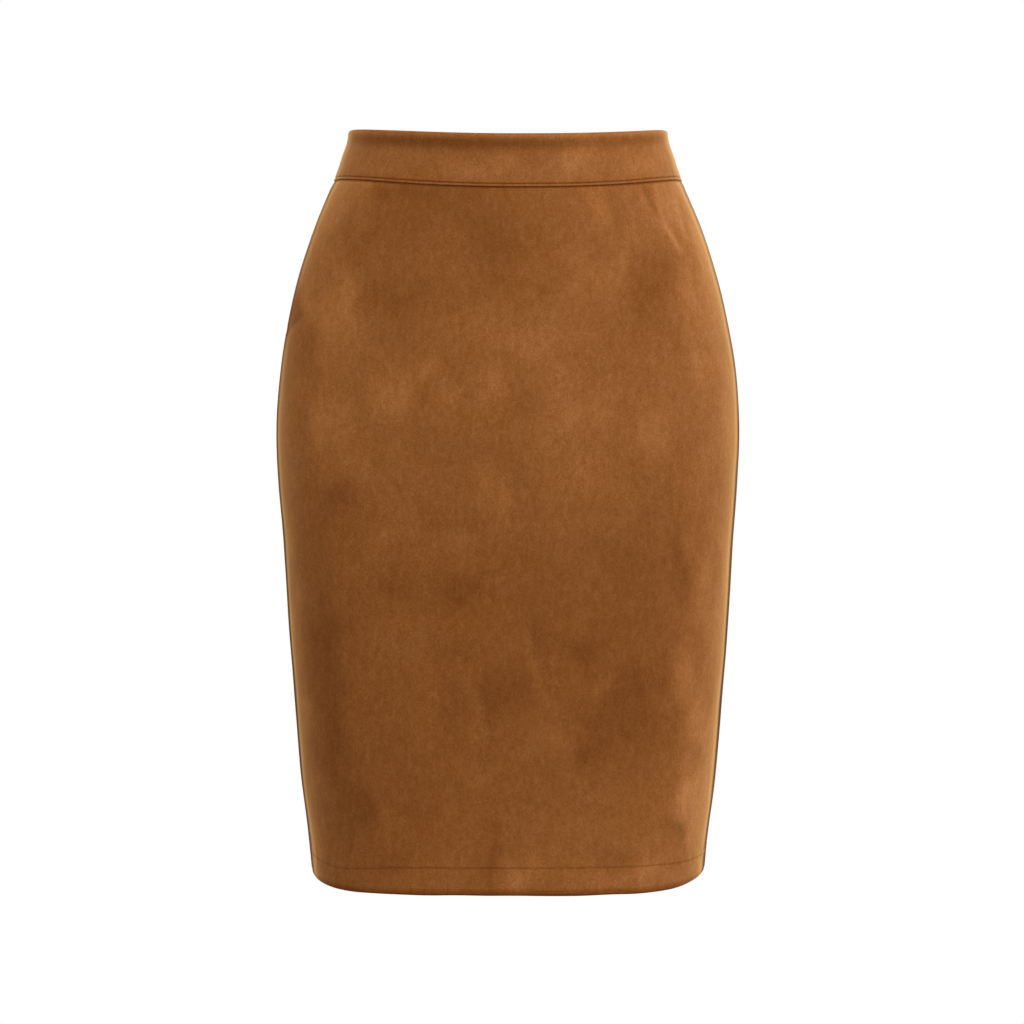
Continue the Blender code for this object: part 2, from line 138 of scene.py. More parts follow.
@dataclass(frozen=True)
class SkirtForm:
    """The hollow form of the skirt, and the lines that its edges follow.

    A turn is 0 at the centre front, a quarter at the right side and a half at
    the centre back.
    """

    band_top: float = 19.0 * MM
    waist_seam: float = -18.9 * MM
    hem: float = -562.0 * MM
    hem_turn: float = 20.5 * MM
    hem_air: float = 0.6 * MM
    top_dip_front: float = 9.6 * MM
    top_rise: float = 1.7 * MM
    top_rise_power: float = 10.0
    seam_dip_front: float = 12.9 * MM
    dip_back: float = 4.0 * MM
    hem_lift: Pair = (11.0 * MM, 12.0 * MM)      # pairs are left, right
    hem_reach: Pair = (0.74, 0.83)
    lift_power: float = 1.8
    stitch_lift: Pair = (1.0 * MM, 2.6 * MM)
    stitch_corner: Pair = (7.0 * MM, 9.2 * MM)
    corner_power: Pair = (9.0, 17.0)
    stitch_sag: float = 3.8 * MM
    sag_turn: float = -0.86
    sag_width: float = 0.24
    side_turns: Pair = (radians(8.5), radians(12.5))
    slit_top: float = -405.0 * MM
    slit_parting: float = 5.5 * MM
    slit_power: float = 1.3
    neck_room: float = 1.05 * MM
    neck_below: float = 12.0 * MM
    neck_length: float = 9.0 * MM
    slider_below_top: float = 9.0 * MM
    dip_square: float = 2.25
    dip_powers: Pair = (2.0, 2.6)

    def column(self, name: str, z: Array) -> Array:
        """A column of LEVELS at the heights z, on a smooth curve through its rows.

        The curve is a cubic between each pair of rows, with the rows' mean
        slopes at its ends.

        Args:
            name: the column's name.
            z: heights, in metres.

        Returns:
            The column's values, in its own units.
        """
        known_z = np.array([row.z for row in reversed(LEVELS)]) * MM
        known = np.array([getattr(row, name) for row in reversed(LEVELS)])
        slope = np.gradient(known, known_z)
        z = np.clip(z, known_z[0], known_z[-1])
        k = np.clip(np.searchsorted(known_z, z) - 1, 0, len(known_z) - 2)
        step = known_z[k + 1] - known_z[k]
        s = (z - known_z[k]) / step
        ends = s * (1.0 - s) ** 2 * slope[k] + s * s * (s - 1.0) * slope[k + 1]
        return known[k] + (known[k + 1] - known[k]) * smooth(s) + ends * step

    def ring(self, turn: Array, z: Array, inset: Array) -> Array:
        """Points of the ring at height z, moved in by inset.

        x is half_width * sin / n and y is -depth * cos / n, where n is the
        squareness-th root of |sin| and |cos| to that power, added.
        """
        front = np.cos(turn) > 0.0
        depth = np.where(front, self.column("front", z), self.column("back", z)) * MM - inset
        square = np.where(front, self.column("front_square", z), self.column("back_square", z))
        half_width = self.column("half_width", z) * MM - inset
        across, along = np.sin(turn), np.cos(turn)
        n = (np.abs(across) ** square + np.abs(along) ** square) ** (1.0 / square)
        return np.stack([half_width * across / n, -depth * along / n, z + 0.0 * turn], axis=-1)

    def sideways(self, turn: Array) -> Array:
        """How far to the side a turn lies: |x| over half_width near the waist."""
        across, along = np.abs(np.sin(turn)), np.abs(np.cos(turn))
        q = self.dip_square
        return across / (across ** q + along ** q) ** (1.0 / q)

    @staticmethod
    def by_side(pair: Pair, turn: Array) -> Array:
        """The first of a pair on the left half, and the second on the right."""
        return np.where(np.sin(turn) > 0.0, pair[1], pair[0])

    def dipped(self, height: float, front_dip: float, turn: Array) -> Array:
        """An edge at this height at the sides, lower towards the front and back.

        It is lower by the dip times one less a power of the way to the side.
        On the right of the front the power is greater, so the edge stays low
        for longer there.
        """
        in_front = np.cos(turn) > 0.0
        dip = np.where(in_front, front_dip, self.dip_back)
        power = np.where(in_front, self.by_side(self.dip_powers, turn), self.dip_powers[0])
        return height - dip * (1.0 - self.sideways(turn) ** power)

    def top_edge(self, turn: Array) -> Array:
        """Height of the waistband's top edge, which stands up a little at the sides."""
        rise = self.top_rise * self.sideways(turn) ** self.top_rise_power
        return self.dipped(self.band_top, self.top_dip_front, turn) + rise

    def seam_edge(self, turn: Array) -> Array:
        """Height of the seam under the waistband."""
        return self.dipped(self.waist_seam, self.seam_dip_front, turn)

    def lifted(self, lift: Pair, turn: Array) -> Array:
        """How far an edge with these lifts rises towards the two side seams."""
        reach = self.by_side(self.hem_reach, turn)
        near_side = np.clip(1.0 - (np.cos(turn) / reach) ** 2, 0.0, 1.0) ** self.lift_power
        return self.by_side(lift, turn) * near_side

    def hem_edge(self, turn: Array) -> Array:
        """Height of the skirt's lower edge."""
        return self.hem + self.lifted(self.hem_lift, turn)

    def hem_stitches(self, turn: Array) -> Array:
        """Height of the stitching that holds the hem.

        It sags at the left of the front, and rises close to the sides.
        """
        sag = self.stitch_sag * bell(turn - self.sag_turn, self.sag_width)
        close = self.sideways(turn) ** self.by_side(self.corner_power, turn)
        corner = self.by_side(self.stitch_corner, turn) * close
        return self.hem + self.hem_turn + self.lifted(self.stitch_lift, turn) + corner - sag

    def side_turn(self, z: Array) -> Array:
        """Turn of the right side seam: forward of the side, more so at the hem."""
        share = np.clip((self.waist_seam - z) / (self.waist_seam - self.hem), 0.0, 1.0)
        near, far = self.side_turns
        return pi / 2.0 - near - (far - near) * share

    def back_gap(self, z: Array) -> Array:
        """Distance of a centre-back edge from the middle plane.

        The edges meet along the seam, are held apart by the slider at the top,
        and part again down the slit.
        """
        slider = self.band_top - self.dip_back - self.slider_below_top
        held = np.clip((z - slider + self.neck_below) / self.neck_length, 0.0, 1.0)
        slit = np.clip((self.slit_top - z) / (self.slit_top - self.hem), 0.0, 1.0)
        parted = self.slit_parting * slit ** self.slit_power
        return GAP / 2.0 + (self.neck_room - GAP / 2.0) * held + parted

    def back_turn(self, z: Array) -> Array:
        """Turn of the right centre-back edge."""
        return pi - self.back_gap(z) / (self.column("half_width", z) * MM)


FORM = SkirtForm()


# ------------------------------------------------------- marks on the surface
class Patch(NamedTuple):
    """A soft patch of lighter or darker colour, for the nap's own tone and for painted light and shade.

    Its middle and its two radii are in millimetres, tone is positive where it
    is lighter, and lean is how far its long way leans to the right at the top,
    in degrees.
    """

    x: float
    z: float
    across: float
    down: float
    tone: float
    lean: float = 0.0


# The light rows near the right edge are painted light, for the light that falls on that side. Some
# small rows by the creases at the upper right are painted highlights and shade. The broad rows make
# large parts lighter or darker, and the rest are the nap's own tone.
FRONT_PATCHES = tuple(Patch(*row) for row in (
    (108, -330, 24, 150, -0.28),
    (152, -92, 16, 50, 0.46),
    (166, -340, 12, 50, 0.36),
    (152, -490, 17, 90, 0.58),
    (170, -196, 12, 60, 0.42),
    (130, -42, 16, 28, 0.34),
    (145, -76, 8, 40, 0.22, 15),
    (-170, -164, 14, 26, -0.24),
    (-165, -120, 9, 30, -0.14, -14),
    (-164, -440, 8, 120, 0.34, -5),
    (-122, -562, 15, 15, -0.40),
    (-146, -50, 16, 22, 0.22),
    (-172, -318, 12, 45, 0.22),
    (-150, -524, 14, 26, 0.14),
    (-120, -236, 13, 18, 0.20),
    (-12, -114, 22, 18, -0.24),
    (-2, -246, 14, 18, -0.16),
    (66, -126, 22, 34, -0.14),
    (72, -54, 14, 14, -0.16),
    (-46, -36, 34, 14, -0.12),
    (-80, -424, 24, 24, -0.10),
    (-36, -530, 40, 12, -0.10),
    (60, -370, 22, 20, -0.12),
    (-42, -524, 26, 24, -0.16),
    (-152, -400, 26, 170, -0.32),
    (-140, -160, 26, 90, 0.29),
    (-115, -30, 22, 20, 0.56),
    (60, -345, 85, 60, -0.28),
    (-20, -330, 60, 60, -0.14),
    (-50, -470, 65, 45, -0.28),
    (50, -460, 55, 40, -0.14),
    (-85, -210, 30, 40, 0.22),
    (36, -185, 24, 45, 0.22),
    (76, -62, 16, 26, -0.30),
    (-50, -56, 50, 22, -0.20),
    (-95, -34, 26, 9, -0.34),
    (-20, -34, 60, 7, -0.16),
    (-4, -72, 24, 20, -0.36),
    (66, -50, 8, 20, 0.46, -8),
    (86, -72, 12, 26, 0.40),
    (64, -108, 17, 17, 0.30),
    (109, -108, 18, 32, -0.38),
    (30, -112, 10, 12, -0.20),
    (-80, -112, 18, 12, -0.24),
    (-112, -62, 16, 16, -0.18, 10),
    (-120, -114, 13, 28, 0.40, 4),
    (-15, -128, 30, 22, 0.22),
    (14, -146, 30, 8, 0.20),
    (-86, -178, 16, 16, 0.34),
    (-48, -174, 9, 14, 0.36, 5),
    (-18, -192, 9, 20, 0.30),
    (12, -186, 12, 12, -0.16),
    (-136, -204, 12, 22, 0.30),
    (-72, -216, 20, 11, -0.20),
    (-22, -232, 22, 14, -0.12),
    (56, -208, 11, 16, 0.28),
    (108, -210, 12, 18, 0.40),
    (141, -170, 7, 15, 0.30),
    (60, -254, 11, 16, 0.26),
    (-14, -258, 10, 20, 0.24),
    (-128, -268, 14, 12, -0.30),
    (-94, -290, 13, 11, 0.26),
    (134, -318, 8, 32, -0.40, -8),
    (-30, -302, 13, 7, 0.26),
    (-36, -334, 18, 9, -0.36, 12),
    (-82, -338, 14, 12, -0.22),
    (24, -372, 10, 24, -0.20, -18),
    (60, -378, 12, 8, -0.32),
    (48, -358, 7, 7, 0.18),
    (10, -388, 7, 18, 0.12, -20),
    (-5, -412, 14, 17, -0.52),
    (-44, -418, 8, 20, -0.24),
    (-36, -376, 14, 10, -0.22),
    (86, -430, 34, 30, -0.46),
    (60, -452, 10, 12, -0.36),
    (72, -404, 13, 5.5, 0.26, 25),
    (100, -404, 16, 9, -0.26),
    (-134, -372, 13, 22, -0.36),
    (-130, -440, 12, 40, -0.36),
    (-118, -505, 12, 26, -0.34, 6),
    (-70, -440, 20, 22, 0.08),
    (30, -452, 14, 9, 0.36),
    (-30, -470, 22, 8, 0.20),
    (-88, -536, 13, 14, -0.28),
    (-10, -528, 7, 24, -0.34),
    (12, -550, 9, 10, 0.38, -30),
    (-44, -524, 12, 16, 0.20),
    (78, -536, 14, 12, -0.24),
    (127, -518, 7, 12, -0.38),
    (137, -488, 7, 14, 0.34),
    (104, -550, 16, 10, 0.34),
    (-146, -134, 14, 24, 0.14),
    (170, -328, 10, 24, 0.17),
    (147, -366, 12, 16, 0.17),
    (-170, -336, 8, 24, 0.13),
    (72, -556, 16, 10, 0.16),
    (0, -556, 14, 10, -0.14),
    (-22, -341, 12, 13, 0.12),
))
BACK_PATCHES = tuple(Patch(*row) for row in (
    (-70, -60, 18, 26, -0.36, 6),
    (-20, -96, 14, 26, 0.30),
    (48, -74, 16, 22, 0.30, -6),
    (98, -90, 18, 26, -0.30),
    (-112, -140, 20, 24, 0.36),
    (-50, -168, 26, 16, -0.24),
    (30, -160, 18, 26, 0.28),
    (84, -184, 16, 18, 0.34),
    (128, -214, 14, 30, -0.28),
    (-90, -226, 16, 16, 0.34),
    (-14, -244, 18, 14, -0.26),
    (56, -262, 26, 12, 0.24, 10),
    (-58, -296, 20, 16, -0.30),
    (-124, -320, 12, 28, -0.34),
    (20, -326, 14, 22, 0.30, -14),
    (92, -340, 28, 24, -0.42),
    (-84, -374, 18, 14, 0.28),
    (-28, -402, 12, 26, -0.36, 12),
    (50, -424, 16, 16, 0.32),
    (118, -448, 12, 28, -0.34),
    (-104, -462, 22, 24, -0.40),
    (-52, -494, 16, 14, 0.28),
    (72, -512, 20, 14, -0.26),
    (-84, -542, 14, 10, 0.24),
    (28, -536, 10, 18, 0.26),
))
BAND_PATCHES = tuple(Patch(*row) for row in (
    (-66, -8, 9, 8, 0.20),
    (-36, -12, 12, 8, 0.28),
    (-4, -16, 14, 8, 0.24),
    (18, -10, 7, 10, -0.10),
    (-34, 2, 46, 12, -0.14),
    (52, -11, 18, 8, 0.36),
    (80, -6, 8, 10, -0.18),
    (100, -8, 14, 9, 0.30),
    (-98, -4, 14, 15, 0.16),
    (120, -6, 12, 14, 0.12),
))
# Where the painted sheen is left off at the left hip, so that its edge shows darker there, as painted
# shade.
SHEEN_OFF_PATCHES = (Patch(-172, -108, 30, 46, 1.05, -16),)


class Crease(NamedTuple):
    """A soft trough or ridge between two points, in millimetres.

    The points are x and z, width is from its middle line to where it has died
    away, and height is negative in a trough.
    """

    x_start: float
    z_start: float
    x_end: float
    z_end: float
    width: float
    height: float
    face: Face = Face.FRONT


CREASES = tuple(Crease(*row) for row in (
    (100, -24, 117, -54, 3.4, -0.68),
    (111, -26, 119, -61, 2.2, 0.62),
    (118, -56, 132, -80, 2.2, 0.74),
    (100, -26, 105, -56, 3.4, 0.35),
    (84, -26, 88, -50, 4, -0.30),
    (126, -34, 136, -72, 2.6, 0.42),
    (129, -34, 138, -66, 3.2, -0.44),
    (126, -54, 132, -76, 2.8, -0.42),
    (135, -64, 137, -82, 3.2, -0.34),
    (132, -92, 135, -106, 4, -0.30),
    (117, -84, 119, -104, 4, -0.22),
    (64, -36, 70, -62, 4.2, 0.34),
    (62, -150, 78, -124, 5, 0.20),
    (-128, -96, -146, -118, 7, -0.80),
    (-152, -128, -128, -142, 9, 0.55),
    (-172, -138, -156, -121, 3.2, -0.90),
    (-2, -366, 16, -408, 6, 0.10),
    (-62, -404, -40, -424, 5, 0.32),
    (34, -420, 94, -446, 5, -0.30),
    (-46, -318, -8, -306, 6, 0.34),
    (-132, -306, -110, -330, 5.5, 0.30),
    (-8, -426, -22, -470, 5, -0.26),
    (-4, -530, 10, -560, 5, 0.34),
    (48, -494, 96, -504, 5, -0.26),
    (58, -150, 104, -188, 10, -0.70, Face.BACK),
    (-62, -146, -112, -178, 9, -0.60, Face.BACK),
    (-40, -222, 52, -232, 12, -0.70, Face.BACK),
    (-66, -262, 14, -270, 10, -0.45, Face.BACK),
    (96, -34, 116, -76, 4, -0.45, Face.BACK),
    (-104, -32, -124, -70, 4, -0.40, Face.BACK),
    (24, -414, 52, -470, 9, 0.50, Face.BACK),
    (-22, -410, -46, -480, 9, 0.45, Face.BACK),
    (-120, -300, -96, -344, 7, 0.35, Face.BACK),
    (104, -392, 82, -436, 7, -0.35, Face.BACK),
))


@dataclass(frozen=True)
class Surface:
    """What lies on the cloth all over: slow waves, creases and patches of nap, with painted light and
    shade on the creases and on some patches.
    """

    waves: int = 26
    wave_height: float = 0.20 * MM
    shortest: float = 34.0 * MM
    longest: float = 130.0 * MM
    upright: float = 0.45
    warp: float = 5.0 * MM
    warp_length: float = 21.0 * MM
    # strength of the patches, which hold the nap's tone and painted light and shade
    patch_strength: float = 0.64
    # painted highlight along ridges and painted shade down troughs: its strength, and its width as a
    # share of the crease's
    crease_shading: float = 1.1
    crease_shading_width: float = 0.8
    crease_curve: float = 0.08
    crease_fade: float = 0.6
    patch_spread: float = 0.8
    side_blend: float = 40.0 * MM
    seed: int = 11

    def wave_sum(self, points: Array, shortest: float, longest: float, seed: int) -> Array:
        """A sum of seeded cosine waves through space, of mean square about 1.

        Args:
            points: places, in metres.
            shortest: the shortest wavelength.
            longest: the longest wavelength.
            seed: which waves are drawn.

        Returns:
            One value for each point.
        """
        draw = np.random.default_rng(seed)
        way = draw.normal(size=(self.waves, 3)) * np.array([1.0, 1.0, self.upright])
        way /= np.linalg.norm(way, axis=1, keepdims=True)
        length = shortest * (longest / shortest) ** draw.random(self.waves)
        phase = draw.random(self.waves) * tau
        total = np.zeros(points.shape[:-1])
        for k in range(self.waves):
            total += np.cos(points @ way[k] * (tau / length[k]) + phase[k])
        return total / np.sqrt(self.waves / 2.0)

    def facing(self, points: Array, face: Face) -> Array:
        """How much a point belongs to one half, from 0 to 1 across the sides."""
        return smooth(0.5 - face.value * points[..., 1] / self.side_blend)

    def relief(self, points: Array) -> Array:
        """How far the cloth stands out of its form, from waves and creases."""
        waves = self.wave_sum(points, self.shortest, self.longest, self.seed)
        return self.wave_height * waves + self.creased(points)[0]

    def creased(self, points: Array) -> tuple[Array, Array]:
        """Height of the creases, and their painted light and shade.

        A crease is a bell across its line, times the root of a sine along it.
        The steeper it is, the stronger its painted light and shade: a painted
        highlight along a ridge and painted shade down a trough.
        """
        height, painted_shading = np.zeros(points.shape[:-1]), np.zeros(points.shape[:-1])
        x, z = points[..., 0] / MM, points[..., 2] / MM
        for crease in CREASES:
            run = np.array([crease.x_end - crease.x_start, crease.z_end - crease.z_start])
            long = float(np.hypot(*run))
            along = ((x - crease.x_start) * run[0] + (z - crease.z_start) * run[1]) / long
            off = ((x - crease.x_start) * run[1] - (z - crease.z_start) * run[0]) / long
            off = off - self.crease_curve * along * (1.0 - along / long)
            fade = np.sin(pi * np.clip(along / long, 0.0, 1.0)) ** self.crease_fade
            fade = fade * self.facing(points, crease.face)
            height += crease.height * MM * bell(off, crease.width) * fade
            painted_shading += crease.height / crease.width * bell(off, self.crease_shading_width * crease.width) * fade
        return height, painted_shading

    def nap_and_painted_light(self, points: Array, front: tuple[Patch, ...], back: tuple[Patch, ...]) -> Array:
        """The lie of the nap, with painted light and shade, from its patches and from the creases.

        Args:
            points: places, in metres.
            front: the patches of the front half.
            back: the patches of the back half.

        Returns:
            A tone for each point, 0 where the nap lies as cut and no light or shade is painted.
        """
        tone = self.patched(points, front, Face.FRONT) + self.patched(points, back, Face.BACK)
        return self.patch_strength * tone + self.crease_shading * self.creased(points)[1]

    def patched(self, points: Array, patches: tuple[Patch, ...], face: Face) -> Array:
        """The sum of some patches with uneven edges, each a bell over its two radii."""
        short, long = self.warp_length, 3.0 * self.warp_length
        shift = [self.warp * self.wave_sum(points, short, long, self.seed + k) for k in (1, 2)]
        x, z = (points[..., 0] + shift[0]) / MM, (points[..., 2] + shift[1]) / MM
        tone = np.zeros(points.shape[:-1])
        for patch in patches:
            c, s = cos(radians(patch.lean)), sin(radians(patch.lean))
            over = ((x - patch.x) * c - (z - patch.z) * s) / patch.across
            down = ((x - patch.x) * s + (z - patch.z) * c) / patch.down
            tone += patch.tone * np.exp(-(over ** 2 + down ** 2) * self.patch_spread)
        return tone * self.facing(points, face)


SURFACE = Surface()


# ------------------------------------------------------------------ the grids
@dataclass
class ClothGrid:
    """A grid of points over a piece of cloth, rows downward, columns to the right.

    The right side lies half_out beyond the middle, the wrong side half_in
    behind it, and both are 0 round the border, so that the shell closes. The
    last four are marks for the finishes: the lie of the nap with painted light
    and shade, painted shade along seams and edges, where the painted sheen is
    left off, and how much a side turns away, for painted shade at the outline.
    """

    middle: Array
    half_out: Array
    half_in: Array
    uv: Array
    nap_and_painted_light: Array | float = 0.0
    shade: Array | float = 0.0
    sheen_off: Array | float = 0.0
    side: Array | float = 0.0
    normals: Array = field(init=False)

    def __post_init__(self) -> None:
        """Work out the normals: the way down crossed with the way across."""
        down = np.gradient(self.middle, axis=0)
        across = np.gradient(self.middle, axis=1)
        normals = np.cross(down, across)
        long = np.linalg.norm(normals, axis=-1, keepdims=True)
        self.normals = normals / np.maximum(long, 1e-12)

    def outside(self) -> Array:
        """Points of the right side of the cloth."""
        return self.middle + self.normals * self.half_out[..., None]

    def inside(self) -> Array:
        """Points of the wrong side of the cloth."""
        return self.middle - self.normals * self.half_in[..., None]

    def build(self, name: str, finishes: list[Material]) -> Piece:
        """Make the closed shell.

        Args:
            name: the piece's name.
            finishes: the materials of the right side and of the wrong side.

        Returns:
            The new object.
        """
        rows, columns = self.half_out.shape
        outer = np.arange(rows * columns).reshape(rows, columns)
        inner = outer.copy()
        core = (rows - 2) * (columns - 2)
        inner[1:-1, 1:-1] = rows * columns + np.arange(core).reshape(rows - 2, columns - 2)
        wrong = self.inside()[1:-1, 1:-1].reshape(-1, 3)
        places = np.concatenate([self.outside().reshape(-1, 3), wrong])
        front, back = quads_over(outer), quads_over(inner)[:, ::-1]
        mesh = mesh_of(name, places, np.concatenate([front, back]))
        sides = np.repeat([0, 1], [len(front), len(back)]).astype(np.int32)
        mesh.polygons.foreach_set("material_index", sides)
        own = np.concatenate([outer.ravel(), outer[1:-1, 1:-1].ravel()])
        add_uv(mesh, self.uv.reshape(-1, 2)[own])
        # flat is where the painted sheen is left off, shade is painted shade, and side places painted
        # shade at the outline
        kept = {"nap_and_painted_light": self.nap_and_painted_light, "shade": self.shade, "flat": self.sheen_off, "side": self.side}
        for key, values in kept.items():
            layer = mesh.attributes.new(key, "FLOAT", "POINT")
            values = np.broadcast_to(values, outer.shape).ravel()[own]
            layer.data.foreach_set("value", values.astype(np.float32))
        return finished(name, mesh, finishes)


def quads_over(index: Array) -> Array:
    """Faces over a grid of vertex numbers, seen from the right side."""
    corners = [index[:-1, :-1], index[1:, :-1], index[1:, 1:], index[:-1, 1:]]
    return np.stack(corners, axis=-1).reshape(-1, 4)


def mesh_of(name: str, places: Array, faces: Array) -> Mesh:
    """A mesh from an array of points and an array of equal faces."""
    mesh = bpy.data.meshes.new(name)
    sides = faces.shape[1]
    mesh.vertices.add(len(places))
    mesh.vertices.foreach_set("co", places.astype(np.float32).ravel())
    mesh.loops.add(faces.size)
    mesh.loops.foreach_set("vertex_index", faces.astype(np.int32).ravel())
    mesh.polygons.add(len(faces))
    mesh.polygons.foreach_set("loop_start", np.arange(0, faces.size, sides, dtype=np.int32))
    mesh.update(calc_edges=True)
    mesh.validate()
    return mesh


def add_uv(mesh: Mesh, uv: Array) -> None:
    """Give a mesh a map in metres along the cloth, from one pair for each vertex."""
    layer = mesh.uv_layers.new(name="cloth")
    corner = np.zeros(len(mesh.loops), np.int32)
    mesh.loops.foreach_get("vertex_index", corner)
    layer.data.foreach_set("uv", uv[corner].astype(np.float32).ravel())


def finished(name: str, mesh: Mesh, finishes: list[Material]) -> Piece:
    """Put a mesh into the scene with its materials, shaded smooth."""
    for finish in finishes:
        mesh.materials.append(finish)
    mesh.shade_smooth()
    piece = bpy.data.objects.new(name, mesh)
    bpy.context.scene.collection.objects.link(piece)
    return piece


def rounded(distance: Array, radius: float) -> Array:
    """Share of the full thickness this far from an edge: a quarter circle."""
    inward = 1.0 - np.clip(distance / radius, 0.0, 1.0)
    return np.sqrt(np.maximum(1.0 - inward * inward, 0.0))


def run_along(line: Array) -> Array:
    """Distance of each point of a line from its first, along its chords."""
    return np.concatenate([[0.0], np.cumsum(np.linalg.norm(np.diff(line, axis=0), axis=-1))])


def copies(quads: Array, count: int, each: int) -> Array:
    """The faces of count copies of a small shape that has this many points each."""
    return (quads[None] + np.arange(count)[:, None, None] * each).reshape(-1, 4)


def spaced(start: float, end: float, step: float) -> Array:
    """Even stations from start to end, about a step apart, without the ends."""
    return np.linspace(start, end, max(2, round(abs(end - start) / step)) + 1)[1:-1]


# Distances from an edge, and to both sides of a stitched line and of a dart.
EDGE_STATIONS = np.array([0.0, 0.02, 0.08, 0.2, 0.36, 0.6, 0.9, 1.3, 1.8, 2.5, 3.5, 5.0, 7.0]) * MM
STITCH_STATIONS = np.array([-2.6, -1.7, -1.1, -0.7, -0.35, 0.0, 0.35, 0.7, 1.1, 1.7, 2.6]) * MM
DART_STATIONS = np.array([-3.2, -1.8, -1.1, -0.7, -0.35, 0.0, 0.35, 0.7, 1.1, 1.8, 3.2]) * MM
BAND_STATIONS = np.array([-0.42, -0.2, 0.0, 0.2, 0.45, 0.8, 1.4, 2.4, 4.2]) * MM


class Rows(NamedTuple):
    """The rows of a panel, each as a mix of three lines across it.

    to_stitches and to_hem are the shares of the stitch line and of the hem's
    fold in a row's height, and the rest is the waist seam's. rise is added to
    the height, inset is how far the row lies inside, turned is 0 on the
    outside and 1 on the turned-up hem, depth is the way down the cloth, and
    edge is the distance from the nearer end of the cloth.
    """

    to_stitches: Array
    to_hem: Array
    rise: Array
    inset: Array
    turned: Array
    depth: Array
    edge: Array


class Columns(NamedTuple):
    """The columns of a panel: a share of its width plus a distance.

    side is 1 or -1 on columns that keep their distance from the left or the
    right edge, and 0 on the others.
    """

    share: Array
    offset: Array
    side: Array


